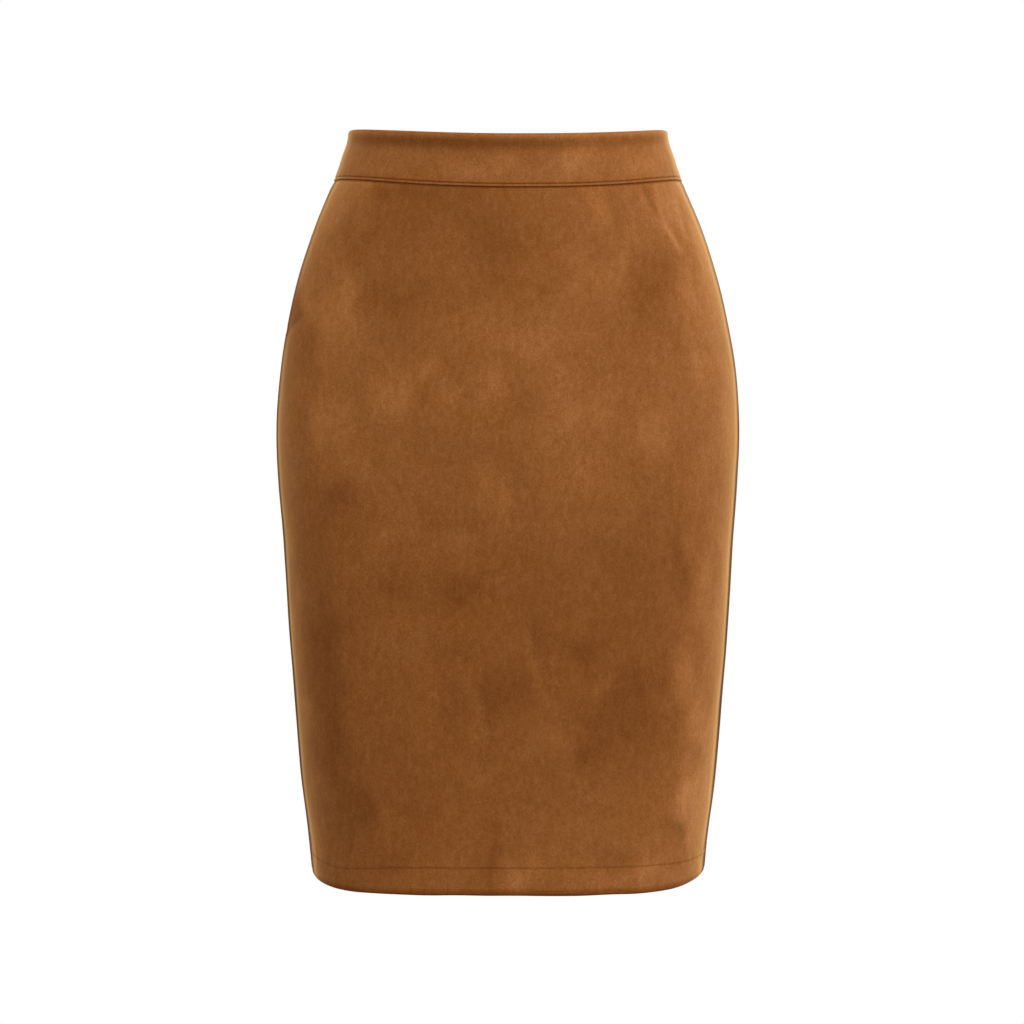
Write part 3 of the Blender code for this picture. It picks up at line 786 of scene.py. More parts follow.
@dataclass
class Panel:
    """One of the skirt's panels, from the waist seam to the turned-up hem.

    Its edges are rounded by half the cloth, and its hem turns up on a half
    circle. node is the CAD node it replaces, cut_from is where its map starts,
    flat and flat_area are what it was cut to, and a dart lies at dart_share of
    its width.
    """

    name: str
    node: str
    cut_from: float
    flat: Pair
    flat_area: float
    step: float = 2.5 * MM
    chords: int = 259                                           # measured across each row
    fold_bends: int = 8                                         # rows round the hem's fold
    fold_clear: float = 2.0 * MM
    edge_clear: float = 2.4 * MM
    hem_pull_in: float = 1.6 * MM
    hem_pull_reach: float = 9.0 * MM
    turn_past_stitches: float = 2.2 * MM
    seam_pull: Mark = Mark(0.45 * MM, 0.0, 3.2 * MM)
    groove: Mark = Mark(-0.26 * MM, 0.0, 0.62 * MM)
    puckers: Mark = Mark(0.10 * MM, 0.0, 6.0 * MM)
    pucker_lengths: Pair = (13.0 * MM, 8.7 * MM)
    # painted shade along the hem's stitches, under the waist seam, beside the side seams and under the
    # hem's fold, then how far the painted sheen is left off in front of the side seams
    stitch_shade: Mark = Mark(0.19, 0.0, 0.8 * MM)
    seam_shade: Mark = Mark(0.5, 0.0, 0.8 * MM)
    side_shade: Mark = Mark(0.8, 0.0, 0.8 * MM)
    hem_shade: Mark = Mark(0.95, 0.3 * MM, 1.1 * MM)
    side_sheen_off: Mark = Mark(0.9, 0.0, 4.5 * MM)
    dart_share: float | None = None
    dart_length: float = 118.0 * MM
    dart_clear: float = 5.4 * MM
    dart_line: Mark = Mark(-0.75 * MM, 0.0, 0.75 * MM)
    dart_hollow: Mark = Mark(-0.35 * MM, 0.0, 5.0 * MM)
    dart_shade: Mark = Mark(0.7, 0.0, 0.7 * MM)
    dart_fades: Pair = (6.0, 3.0 * MM)                          # at its point, at the seam
    seam_fade: float = 7.0 * MM
    # painted shade at the outline: where it starts and where it is full, as shares of the way to the
    # side, how much of it is left at the top, and the height below which it grows and over how far
    turned_from: Pair = (0.93, 0.98)                            # shares of the way to the side
    turned_at_top: float = 0.42
    turned_over: Pair = (-150.0 * MM, 250.0 * MM)               # height, and over
    grid: ClothGrid = field(init=False)
    rows: Rows = field(init=False)
    turn: Array = field(init=False)
    width: Array = field(init=False)

    def left_turn(self, z: Array) -> Array:
        """Turn of the panel's left edge."""
        return -self.beside_seam(z, -1.0)

    def right_turn(self, z: Array) -> Array:
        """Turn of the panel's right edge."""
        return self.beside_seam(z, -1.0)

    @staticmethod
    def beside_seam(z: Array, sign: float) -> Array:
        """Turn just off the right side seam, where sign 1 is behind it."""
        return FORM.side_turn(z) + sign * SHUT / 2.0 / (FORM.column("front", z) * MM)

    def make_rows(self) -> Rows:
        """Stations down the panel, close together at seams, stitches and folds."""
        fold = (CLOTH + FORM.hem_air) / 2.0
        near = STITCH_STATIONS
        long = FORM.waist_seam - FORM.seam_dip_front / 2.0 - FORM.hem - FORM.hem_turn
        body = spaced(EDGE_STATIONS[-1] / long, 1.0 - near[-1] / long, self.step / long)
        below = spaced(near[-1], FORM.hem_turn - self.fold_clear, self.step) / FORM.hem_turn
        bends = self.fold_bends + 1
        around = np.linspace(0.0, pi, bends)[1:]
        last = self.turn_past_stitches + FORM.hem_turn
        up = np.append(spaced(0.0, last - self.edge_clear, self.step), last - EDGE_STATIONS[6::-1])
        counts = [len(part) for part in (EDGE_STATIONS, body, near, below)]
        level_rows, zeros = counts[2] + counts[3] + 1, np.zeros
        hem_share = np.clip(1.0 - up / FORM.hem_turn, 0.0, 1.0)
        to_hem = np.concatenate([zeros(sum(counts[:3])), below, np.ones(bends), hem_share])
        down = zeros(counts[0]), body, np.ones(counts[2]), 1.0 - below
        to_stitches = np.concatenate([*down, zeros(bends), 1.0 - hem_share])
        past = np.maximum(up - FORM.hem_turn, 0.0)
        level = zeros(counts[1]), -near, zeros(counts[3] + 1)
        rise = np.concatenate([-EDGE_STATIONS, *level, -fold * np.sin(around), past])
        arc = fold * (1.0 - np.cos(around))
        outside = zeros(counts[0] + counts[1] + level_rows)
        inset = np.concatenate([outside, arc, np.full(len(up), 2.0 * fold)])
        turned = np.concatenate([outside, around / pi, np.ones(len(up))])
        along = to_stitches * long + to_hem * (long + FORM.hem_turn) - rise
        depth = np.where(turned > 0.0, 2.0 * (long + FORM.hem_turn) - along, along)
        edge = np.minimum(depth, depth[-1] - depth)
        return Rows(to_stitches, to_hem, rise, inset, turned, depth, edge)

    def make_columns(self, width: float) -> Columns:
        """Stations across the panel, close together at its edges and its dart."""
        margin = EDGE_STATIONS[-1] + self.step
        share = np.linspace(0.0, 1.0, max(4, round((width - 2.0 * margin) / self.step)) + 1)
        offset = margin * (1.0 - 2.0 * share)
        if self.dart_share is not None:
            around = DART_STATIONS + self.dart_offset()
            clear = np.abs((share - self.dart_share) * (width - 2.0 * margin)) > self.dart_clear
            share = np.append(share[clear], np.full(len(around), self.dart_share))
            offset = np.append(offset[clear], around)
            order = np.argsort(share * width + offset)
            share, offset = share[order], offset[order]
        ends = np.ones(len(EDGE_STATIONS))
        return Columns(
            np.concatenate([0.0 * ends, share, ends]),
            np.concatenate([EDGE_STATIONS, offset, -EDGE_STATIONS[::-1]]),
            np.concatenate([ends, 0.0 * share, -ends]),
        )

    def dart_offset(self) -> float:
        """How far the dart's line lies from its share of the width."""
        return (EDGE_STATIONS[-1] + self.step) * (1.0 - 2.0 * self.dart_share)

    def heights(self, turn: Array) -> Array:
        """Height of every row at these turns."""
        fold = (CLOTH + FORM.hem_air) / 2.0
        a, b = self.rows.to_stitches[:, None], self.rows.to_hem[:, None]
        seam = FORM.seam_edge(turn) - SHUT / 2.0
        low = FORM.hem_edge(turn) + fold + CLOTH / 2.0
        mixed = seam * (1.0 - a - b) + FORM.hem_stitches(turn) * a + low * b
        return mixed + self.rows.rise[:, None]

    def turns_at(self, share: Array) -> tuple[Array, Array]:
        """Turns and heights at shares of the turn from edge to edge, by rows."""
        z = np.full(share.shape, FORM.hem / 2.0)
        for _ in range(4):
            turn = self.left_turn(z) + (self.right_turn(z) - self.left_turn(z)) * share
            z = self.heights(turn)
        return turn, z

    def lay_out(self) -> None:
        """Work out the turn and the width of every row and column.

        The way across each row is measured along many short chords, and each
        column's distance is read back as a share of the turn.
        """
        self.rows = self.make_rows()
        fine = np.tile(np.linspace(0.0, 1.0, self.chords + 1), (len(self.rows.rise), 1))
        turn, z = self.turns_at(fine)
        chords = np.linalg.norm(np.diff(FORM.ring(turn, z, 0.0), axis=1), axis=-1)
        run = np.concatenate([np.zeros((len(fine), 1)), np.cumsum(chords, axis=1)], axis=1)
        self.width = run[:, -1]
        columns = self.make_columns(float(self.width.max()))
        from_side = np.abs(columns.offset) / self.hem_pull_reach
        near_edge = columns.side * np.clip(1.0 - from_side, 0.0, 1.0)
        pulled = smooth(3.0 * self.rows.turned[:, None] - 1.0) * self.hem_pull_in * near_edge
        at = columns.share * self.width[:, None] + columns.offset + pulled
        share = np.stack([np.interp(a, r, f) for a, r, f in zip(at, run, fine)])
        self.turn, z = self.turns_at(share)
        inset = CLOTH / 2.0 + self.rows.inset[:, None]
        self.grid = self.shaped(FORM.ring(self.turn, z, inset), at, columns)

    def shaped(self, flat: Array, at: Array, columns: Columns) -> ClothGrid:
        """Work relief, grooves, pressed seams, painted shade and painted sheen masks into the flat
        grid.

        Args:
            flat: the middle surface without relief.
            at: each point's distance from the left edge, along its row.
            columns: the stations across the panel.

        Returns:
            The finished grid.
        """
        z = flat[..., 2]
        outer = 1.0 - self.rows.turned[:, None]
        line = z - FORM.hem_stitches(self.turn)
        below_seam = FORM.seam_edge(self.turn) - z
        from_side = np.minimum(at, self.width[:, None] - at)
        long, short = self.pucker_lengths
        waves = np.sin(at / long * tau) + np.sin(at / short * tau + self.cut_from)
        sewn = self.groove.along(line) + self.puckers.along(line) * waves
        relief = (SURFACE.relief(flat) + sewn * outer) * smooth(below_seam / self.seam_fade)
        pull = np.maximum(self.seam_pull.along(below_seam), self.seam_pull.along(from_side) * outer)
        # painted shade along the hem's stitches, under the hem's fold, under the waist seam and beside
        # the side seams
        shade = self.stitch_shade.along(line) * outer
        shade += self.hem_shade.along(z - FORM.hem_edge(self.turn))
        shade = np.maximum(shade, self.seam_shade.along(below_seam))
        shade = np.maximum(shade, self.side_shade.along(from_side) * outer)
        if self.dart_share is not None:
            off = at - self.dart_share * self.width[:, None] - self.dart_offset()
            left = 1.0 - np.clip(below_seam / self.dart_length, 0.0, 1.0)
            at_point, at_seam = self.dart_fades
            shut = smooth(left * at_point) * outer
            pressed = self.dart_line.along(off) + left * self.dart_hollow.along(off)
            relief += pressed * shut * smooth(below_seam / at_seam)
            shade = np.maximum(shade, self.dart_shade.along(off) * shut)
        ends = np.tile(np.abs(columns.offset), (len(z), 1))
        ends[:, columns.side == 0.0] = EDGE_STATIONS[-1]
        radius = CLOTH / 2.0
        half = radius * rounded(self.rows.edge[:, None], radius) * rounded(ends, radius)
        uv = np.stack([at + self.cut_from, np.broadcast_to(-self.rows.depth[:, None], z.shape)], -1)
        nap_and_painted_light = SURFACE.nap_and_painted_light(flat, FRONT_PATCHES, BACK_PATCHES)
        # where the painted sheen is left off: on the painted shade lines, beside the side seams and at
        # the left hip
        sheen_off_spot = SURFACE.patched(flat, SHEEN_OFF_PATCHES, Face.FRONT)
        pile = np.maximum(np.maximum(shade, self.pressed(at)), sheen_off_spot)
        # painted shade at the outline, by how far each point has turned to the side, less towards the
        # top
        start, end = self.turned_from
        side = smooth((FORM.sideways(self.turn) - start) / (end - start))
        high, over = self.turned_over
        side *= self.turned_at_top + (1.0 - self.turned_at_top) * smooth((high - z) / over)
        grid = ClothGrid(flat, half, half, uv, nap_and_painted_light, shade, pile, side)
        return replace(grid, middle=flat + grid.normals * (relief - pull)[..., None])

    def pressed(self, at: Array) -> Array:
        """Where the painted sheen is left off in front of the side seams, so that the outline shows
        painted shade, by distance from the left edge.
        """
        return self.side_sheen_off.along(np.minimum(at, self.width[:, None] - at))

    def stitch_line(self) -> tuple[Array, Array]:
        """Points of the right side along the hem's stitching, and their normals."""
        on_line = (self.rows.to_stitches == 1.0) & (self.rows.rise == 0.0)
        row = int(np.flatnonzero(on_line)[0])
        return self.grid.outside()[row], self.grid.normals[row]

    def build(self, finishes: list[Material]) -> Piece:
        """Build the panel in place of its CAD node, from its two sides' materials."""
        self.lay_out()
        piece = self.grid.build(self.name, finishes)
        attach(piece, SKIRT)
        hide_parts(self.node)
        return piece

    def declare(self, piece: Piece, with_pieces: list[Piece]) -> None:
        """Does nothing: what the panel was cut to, and what else belongs to its cloth, is not recorded
        here.
        """


@dataclass
class BackPanel(Panel):
    """Half of the back, from a side seam to the centre back and its slit."""

    right: bool = True
    # how much painted sheen is left off behind the side seam, for painted shade at the outline: its
    # amount, its width, and the share of the width where it is full
    pressed_back: float = 1.0
    sheen_off_width: float = 10.0 * MM
    sheen_off_core: float = 0.6

    def pressed(self, at: Array) -> Array:
        """Where the painted sheen is left off behind the side seam, so that the outline there shows
        painted shade.
        """
        behind = at if self.right else self.width[:, None] - at
        past = (behind - self.sheen_off_core * self.sheen_off_width) / self.sheen_off_width
        return self.pressed_back * (1.0 - smooth(past))

    def left_turn(self, z: Array) -> Array:
        """Turn of the left edge: the side seam's on the right half."""
        return self.beside_seam(z, 1.0) if self.right else tau - FORM.back_turn(z)

    def right_turn(self, z: Array) -> Array:
        """Turn of the right edge: the centre back's on the right half."""
        return FORM.back_turn(z) if self.right else tau - self.beside_seam(z, 1.0)

    def zip_line(self) -> tuple[Array, Array]:
        """Points of the right side beside the zip, and their normals, downward."""
        column = -len(EDGE_STATIONS) if self.right else len(EDGE_STATIONS) - 1
        return self.grid.outside()[:, column], self.grid.normals[:, column]


@dataclass
class Waistband:
    """The shaped waistband: one strip from centre back round to centre back.

    Its top and bottom are rounded by half its thickness. A roll stands along
    the top, a hollow lies under it, and a stitched groove runs above the seam.
    """

    step: float = 2.2 * MM
    length: float = 0.66
    inner_rows: int = 10
    inner_low: float = 6.2 * MM
    lightness: float = 0.04
    roll: Mark = Mark(0.22 * MM, 2.2 * MM, 1.8 * MM)            # from the top edge
    hollow: Mark = Mark(-0.55 * MM, 9.0 * MM, 6.5 * MM)
    hollow_least: float = 0.75
    hollow_most: Mark = Mark(0.35, -45.0 * MM, 70.0 * MM)       # by x
    # painted highlight on the roll, painted shade in the hollow under it and lower down, and how the
    # lower shade fades to the right
    roll_highlight: Mark = Mark(0.25, 2.0 * MM, 2.3 * MM)
    hollow_shade: Mark = Mark(-0.34, 7.0 * MM, 3.4 * MM)
    lower_shade: Mark = Mark(-0.24, 10.2 * MM, 3.6 * MM)
    lower_fade: Triple = (35.0 * MM, 45.0 * MM, 0.65)           # by x: from, over, by
    edge_stitch: float = 2.45 * MM                              # from the seam
    groove: Mark = Mark(-0.46 * MM, 2.45 * MM, 0.55 * MM)
    groove_shade: Mark = Mark(0.42, 2.45 * MM, 0.55 * MM)
    seam_shade: Mark = Mark(0.45, 0.0, 0.6 * MM)
    puckers: Mark = Mark(0.07 * MM, 2.45 * MM, 5.0 * MM)
    pucker_lengths: Pair = (11.0 * MM, 7.3 * MM)
    swell: Mark = Mark(0.16 * MM, 6.4 * MM, 2.6 * MM)
    lip: Mark = Mark(0.10 * MM, 1.2 * MM, 0.9 * MM)
    # painted highlight on the lip above the seam
    lip_highlight: Mark = Mark(0.16, 1.25 * MM, 0.6 * MM)
    stiffness: float = 0.55
    corner: float = 1.4 * MM
    flat: Pair = (0.71, 0.045)
    flat_area: float = 0.029
    grid: ClothGrid = field(init=False)
    turn: Array = field(init=False)
    stitch_row: int = field(init=False)

    def lay_out(self) -> None:
        """Work out the grid: rows by distance from the top edge or from the seam."""
        stations = np.append(EDGE_STATIONS[:8], self.edge_stitch + BAND_STATIONS)
        top_stations = EDGE_STATIONS
        inner = np.linspace(0.0, 1.0, self.inner_rows + 2)[1:-1]
        share = np.concatenate([0.0 * top_stations, inner, 0.0 * stations + 1.0])[:, None]
        between = top_stations[-1] * (inner - 1.0) + self.inner_low * inner
        rise = np.concatenate([-top_stations, between, stations[::-1]])
        self.stitch_row = len(rise) - 1 - int(np.argmin(np.abs(stations - self.edge_stitch)))
        ends = EDGE_STATIONS / self.length
        middle = np.linspace(ends[-1], 1.0 - ends[-1], round(self.length / self.step))[1:-1]
        across = np.concatenate([ends, middle, 1.0 - ends[::-1]])[None, :] * 2.0 - 1.0
        z = np.zeros((len(rise), across.size))
        for _ in range(4):
            turn = across * FORM.back_turn(z)
            top, seam = FORM.top_edge(turn), FORM.seam_edge(turn) + SHUT / 2.0
            z = top + (seam - top) * share + rise[:, None]
        self.turn = turn
        flat = FORM.ring(turn, z, BAND / 2.0)
        down = top - z
        up = z - seam
        run = run_along(flat[len(flat) // 2])
        from_end = np.minimum(run, run[-1] - run)[None, :] + 0.0 * z
        self.grid = self.shaped(flat, down, up, from_end, run)

    def shaped(self, flat: Array, down: Array, up: Array, from_end: Array, run: Array) -> ClothGrid:
        """Work the roll, hollow and stitched groove into the band's right side, with painted highlights
        on the roll and the lip and painted shade in the hollow.

        Args:
            flat: the band's middle surface.
            down: distance below the top edge.
            up: distance above the seam.
            from_end: distance from the nearer end at the centre back.
            run: distance of each column along the band.

        Returns:
            The finished grid.
        """
        radius = BAND / 2.0
        edge = np.minimum(np.minimum(down, up), from_end)
        soft = rounded(np.maximum(down, 0.0), radius) * rounded(np.maximum(up, 0.0), radius)
        half = radius * soft * rounded(from_end, radius)
        clear = smooth(edge / self.corner)
        front_left = self.hollow_least + self.hollow_most.along(flat[..., 0])
        relief = self.roll.along(down) + self.hollow.along(down) * front_left
        relief += self.swell.along(up) + self.lip.along(up) + self.groove.along(up)
        long, short = self.pucker_lengths
        waves = np.sin(run / long * tau) + np.sin(run / short * tau + 1.0)
        relief += self.puckers.along(up) * waves + (1.0 - self.stiffness) * SURFACE.relief(flat)
        shade = np.maximum(self.groove_shade.along(up), self.seam_shade.along(up))
        uv = np.stack([run[None, :] + 0.0 * down, -down], axis=-1)
        nap_and_painted_light = SURFACE.nap_and_painted_light(flat, BAND_PATCHES, ()) + self.lightness
        start, over, less = self.lower_fade
        left = 1.0 - less * smooth((flat[..., 0] - start) / over)
        # painted shade in the hollow, and painted highlights on the roll and the lip
        nap_and_painted_light += self.hollow_shade.along(down) * front_left + self.lower_shade.along(down) * left
        nap_and_painted_light += self.roll_highlight.along(down) + self.lip_highlight.along(up)
        return ClothGrid(flat, half + relief * clear, half, uv, nap_and_painted_light, shade, shade)

    def build(self, finishes: list[Material]) -> Piece:
        """Build the waistband in place of its CAD node."""
        self.lay_out()
        piece = self.grid.build("waistband_cloth", finishes)
        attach(piece, SKIRT)
        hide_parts("waistband")
        return piece

    def declare(self, piece: Piece, with_pieces: list[Piece]) -> None:
        """Does nothing: what the waistband was cut to, one strip folded along its top edge, is not
        recorded here.
        """


# ------------------------------------------------------ allowances and threads
# Stations across a turned-in edge, and its thickness at the first few of them.
STRIP_SHARES = np.concatenate([[0.0, 0.004, 0.02], np.linspace(0.05, 0.95, 7), [0.98, 0.996, 1.0]])
STRIP_ROUNDING = np.array([0.0, 0.45, 0.8, 1.0])


@dataclass
class Allowances:
    """The turned-in edges of the cloth, which lie flat against its wrong side."""

    width: float = 12.0 * MM
    slit_width: float = 25.0 * MM
    from_edge: float = 0.05 * MM
    air: float = 0.25 * MM
    above_seam: float = 2.4 * MM
    centre_top: float = -186.0 * MM
    above_hem: float = 3.6 * MM
    widening: Pair = (14.0 * MM, 10.0 * MM)                     # above the slit, and over
    thick: float = 0.84 * CLOTH
    step: float = 6.0 * MM

    def strip(self, edge_turn: Array, z: Array, way: float, width: Array) -> Array:
        """Middle surface of one strip, from its seam outward.

        Args:
            edge_turn: the seam's turn at each height.
            z: the heights, downward.
            way: 1 where the strip lies at greater turns than its seam.
            width: its width at each height.

        Returns:
            The points, rows downward.
        """
        across = self.from_edge + (width[:, None] - self.from_edge) * STRIP_SHARES
        small = 1e-3
        ahead = FORM.ring(edge_turn + small, z, 0.0) - FORM.ring(edge_turn, z, 0.0)
        speed = np.linalg.norm(ahead, axis=-1) / small
        turn = edge_turn[:, None] + way * across / speed[:, None]
        z = np.broadcast_to(z[:, None], turn.shape)
        return FORM.ring(turn, z, 1.5 * CLOTH + self.air) + self.relief(turn, z)

    @staticmethod
    def relief(turn: Array, z: Array) -> Array:
        """The cloth's own relief, so that the strip follows it."""
        flat = FORM.ring(turn, z, CLOTH / 2.0)
        outward = flat * np.array([1.0, 1.0, 0.0])
        outward /= np.linalg.norm(outward, axis=-1, keepdims=True)
        return outward * SURFACE.relief(flat)[..., None]

    def shell(self, name: str, points: Array, finishes: list[Material]) -> Piece:
        """Close one strip into a shell that rides on the skirt."""
        if np.cross(points[1, 0] - points[0, 0], points[0, 1] - points[0, 0]) @ points[0, 0] < 0.0:
            points = points[:, ::-1]
        count, across, _ = points.shape
        ends = np.minimum(np.arange(count), np.arange(count)[::-1])[:, None]
        sides = np.minimum(np.arange(across), np.arange(across)[::-1])[None, :]
        rounding = STRIP_ROUNDING[np.minimum(sides, len(STRIP_ROUNDING) - 1)]
        half = self.thick / 2.0 * rounding * np.where(ends == 0, 0.0, 1.0)
        down = np.linalg.norm(points[:, :1] - points[:1, :1], axis=-1) + 0.0 * half
        over = np.linalg.norm(points - points[:, :1], axis=-1)
        grid = ClothGrid(points, half, half, np.stack([over, -down], axis=-1))
        piece = grid.build(name, finishes)
        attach(piece, SKIRT)
        return piece

    def build(self, finishes: list[Material]) -> dict[str, list[Piece]]:
        """Build the strips at both side seams and down both sides of the centre back.

        Returns:
            The strips of each panel, by the panel's piece name.
        """
        top = FORM.waist_seam + self.above_seam
        low = FORM.hem + FORM.hem_turn + FORM.stitch_lift[1] + FORM.stitch_corner[1] + self.above_hem
        z = np.linspace(top, low, round((top - low) / self.step))
        seam, width = FORM.side_turn(z), np.full(len(z), self.width)
        low_back = FORM.hem + FORM.hem_turn + self.above_hem
        count = round((self.centre_top - low_back) / self.step)
        z_back = np.linspace(self.centre_top, low_back, count)
        back = FORM.back_turn(z_back)
        above, over = self.widening
        slit = smooth((FORM.slit_top + above - z_back) / over)
        wide = self.width + (self.slit_width - self.width) * slit
        strips = {
            "front_seam_left": self.strip(-seam, z, 1.0, width),
            "front_seam_right": self.strip(seam, z, -1.0, width),
            "side_seam_left": self.strip(tau - seam, z, -1.0, width),
            "side_seam_right": self.strip(seam, z, 1.0, width),
            "centre_seam_left": self.strip(tau - back, z_back, 1.0, wide),
            "centre_seam_right": self.strip(back, z_back, -1.0, wide),
        }
        made = {name: self.shell(name, points, finishes) for name, points in strips.items()}
        return {
            "front_cloth": [made["front_seam_left"], made["front_seam_right"]],
            "back_cloth_left": [made["side_seam_left"], made["centre_seam_left"]],
            "back_cloth_right": [made["side_seam_right"], made["centre_seam_right"]],
        }


@dataclass
class Stitching:
    """Rows of short threads, each a closed spindle that dips into the cloth."""

    length: float = 1.75 * MM
    pitch: float = 2.35 * MM
    thread: float = 0.22 * MM
    sink: float = 0.02 * MM
    around: int = 6

    def spindle(self) -> tuple[Array, Array]:
        """One thread along x: rings whose radius is the root of a sine, and two ends.

        Returns:
            Its points and its quads.
        """
        share = np.array([0.06, 0.3, 0.7, 0.94])
        angle = np.arange(self.around) * tau / self.around
        radius = self.thread * np.sin(pi * share) ** 0.5
        x = (share - 0.5) * self.length
        dip = -0.9 * self.thread * (2.0 * share - 1.0) ** 2
        over = radius[:, None] * np.cos(angle)
        up = radius[:, None] * np.sin(angle) + dip[:, None]
        rings = np.stack([x[:, None] + 0.0 * up, over, up], axis=-1)
        index = np.arange(up.size).reshape(up.shape)
        sides = quads_over(np.pad(index, ((0, 0), (0, 1)), "wrap"))
        caps = np.array([[0, 1, 2, 3], [0, 3, 4, 5]])
        far = caps[:, ::-1] + index[-1, 0]
        return rings.reshape(-1, 3), np.concatenate([sides, caps, far])[:, ::-1]

    def along(self, line: Array, normals: Array, pitch: float) -> Array:
        """Placed threads: points on the line a pitch apart, turned to lie along it.

        Args:
            line: points along the row of stitches.
            normals: the cloth's normals there.
            pitch: the distance from one stitch to the next.

        Returns:
            The threads' points, one block for each thread.
        """
        run = run_along(line)
        at = np.arange(pitch, run[-1] - pitch / 2.0, pitch)

        def read(values: Array, where: Array) -> Array:
            """Values on the line at these distances."""
            return np.stack([np.interp(where, run, values[:, k]) for k in range(3)], axis=-1)

        middle, up = read(line, at), read(normals, at)
        way = read(line, at + self.length / 2.0) - read(line, at - self.length / 2.0)
        way /= np.linalg.norm(way, axis=-1, keepdims=True)
        side = np.cross(up, way)
        side /= np.linalg.norm(side, axis=-1, keepdims=True)
        up = np.cross(way, side)
        spindle, _ = self.spindle()
        axes = np.stack([way, side, up], axis=1)
        return middle[:, None] - up[:, None] * self.sink + np.einsum("pk,nkc->npc", spindle, axes)

    def build(self, name: str, rows: list[Array], finish: Material) -> Piece:
        """Join placed threads into one piece on the skirt.

        Args:
            name: the piece's name.
            rows: what along() gave for each row.
            finish: the thread's material.

        Returns:
            The new piece.
        """
        places = np.concatenate(rows)
        count, each, _ = places.shape
        _, quads = self.spindle()
        mesh = mesh_of(name, places.reshape(-1, 3), copies(quads, count, each))
        piece = finished(name, mesh, [finish])
        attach(piece, SKIRT)
        return piece


# -------------------------------------------------------------------- the zip
@dataclass
class ZipTape:
    """Half of the zip: a woven tape inside the cloth, and its coil of teeth."""

    right: bool
    top: float = 11.5 * MM
    bottom: float = -178.0 * MM
    width: float = 9.0 * MM
    thick: float = 0.5 * MM
    pitch: float = 1.5 * MM
    wire: float = 0.24 * MM
    tooth_across: float = 0.72 * MM
    tooth_deep: float = 0.42 * MM
    coil_over: float = 0.55 * MM
    coil_in: float = 0.25 * MM
    coil_short: float = 4.0 * MM
    coil_below: float = 2.0 * MM
    selvedge: float = 0.35 * MM
    end: float = 0.3 * MM
    step_down: float = 9.0 * MM
    cloth_rows: int = 62
    around: tuple[int, int] = (9, 5)        # round a tooth, and round its wire

    def lying(self, z: Array, from_edge: Array, deeper: Array) -> Array:
        """Points inside the cloth, at distances from its centre-back edge.

        They lie a gap inside the waistband, and step out to a gap inside the
        panels over the 9 mm below the seam.
        """
        seam = FORM.waist_seam - FORM.dip_back
        on_band = smooth((z - seam + self.step_down) / self.step_down)
        inset = CLOTH + (BAND - CLOTH) * on_band + GAP + self.thick / 2.0 + deeper
        turn = FORM.back_turn(z) - from_edge / (FORM.column("half_width", z) * MM)
        turn = turn if self.right else tau - turn
        return FORM.ring(turn, z, inset)

    def cloth(self) -> ClothGrid:
        """The tape as a thin shell, with its two ends and selvedges closed."""
        across = np.array([0.0, 0.1, 0.4, 1.4, 2.6, 4.0, 5.6, 7.2, 8.6, 8.9, 9.0]) * MM
        across = across[::-1] if self.right else across
        inner = np.linspace(self.top - self.end, self.bottom + self.end, self.cloth_rows)
        z = np.concatenate([[self.top], inner, [self.bottom]])
        z = np.broadcast_to(z[:, None], (len(z), len(across)))
        points = self.lying(z, across + 0.0 * z, 0.0 * z)
        near = np.minimum(across, self.width - across)
        half = 0.5 * self.thick * rounded(near, self.selvedge) + 0.0 * z
        half[0] = half[-1] = 0.0
        return ClothGrid(points, half, half, np.stack([across + 0.0 * z, z], axis=-1))

    def coil(self) -> tuple[Array, Array]:
        """The teeth: closed rings of wire round the tape's edge, a pitch apart.

        A ring is an ellipse across and inward, its wire a circle round it.
        """
        count = int((self.top - self.bottom - self.coil_short) / self.pitch)
        start = self.top - self.coil_below - (0.0 if self.right else self.pitch / 2.0)
        height = start - np.arange(count) * self.pitch
        round_it, about = (np.arange(count_of) * tau / count_of for count_of in self.around)
        z = height[:, None, None] + self.wire * np.sin(about) + 0.0 * round_it[:, None]
        out = self.wire * np.cos(about)[None, :]
        across = (self.tooth_across + out) * np.cos(round_it)[:, None] + self.coil_over
        deep = (self.tooth_deep + out) * np.sin(round_it)[:, None] + self.coil_in + self.tooth_deep
        places = self.lying(z, across[None] + 0.0 * z, deep[None] + 0.0 * z)
        each = round_it.size * about.size
        index = np.arange(each).reshape(round_it.size, about.size)
        quads = quads_over(np.pad(index, (0, 1), "wrap"))
        quads = quads if self.right else quads[:, ::-1]
        return places.reshape(-1, 3), copies(quads, count, each)

    def build(self, weave: Material, nylon: Material) -> None:
        """Build the tape and its coil in place of the CAD node."""
        side = "right" if self.right else "left"
        tape = self.cloth().build(f"zip_cloth_{side}", [weave, weave])
        places, faces = self.coil()
        coil = finished(f"zip_coil_{side}", mesh_of(f"zip_coil_{side}", places, faces), [nylon])
        for piece in (tape, coil):
            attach(piece, SKIRT)
            LOG.info("%s: %d faces", piece.name, len(piece.data.polygons))
        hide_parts(f"zip_tape_{side}")


# --------------------------------------------------------------- node helpers
EULER = 2.71828
Node, Socket = bpy.types.Node, bpy.types.NodeSocket
Setting = Socket | float | tuple[float, ...]


class Noise(NamedTuple):
    """A size of noise: lumps to the metre, and how much finer detail it has."""

    per_metre: float
    detail: float
    rough: float


CLOUDS = Noise(34.0, 3.0, 0.7)
MOTTLE = Noise(216.0, 3.0, 0.75)
FINE = Noise(760.0, 1.6, 0.8)
SLUBS = Noise(900.0, 2.0, 0.6)
LONGER = (1.0, 1.0, 0.86)               # nap marks are longer up the cloth
MOTTLE_LONGER = (1.0, 1.0, 0.62)
# How fast red, green and blue change with a tone, for each cause of it.
DYE_POWERS = (0.0, 0.08, 0.30)
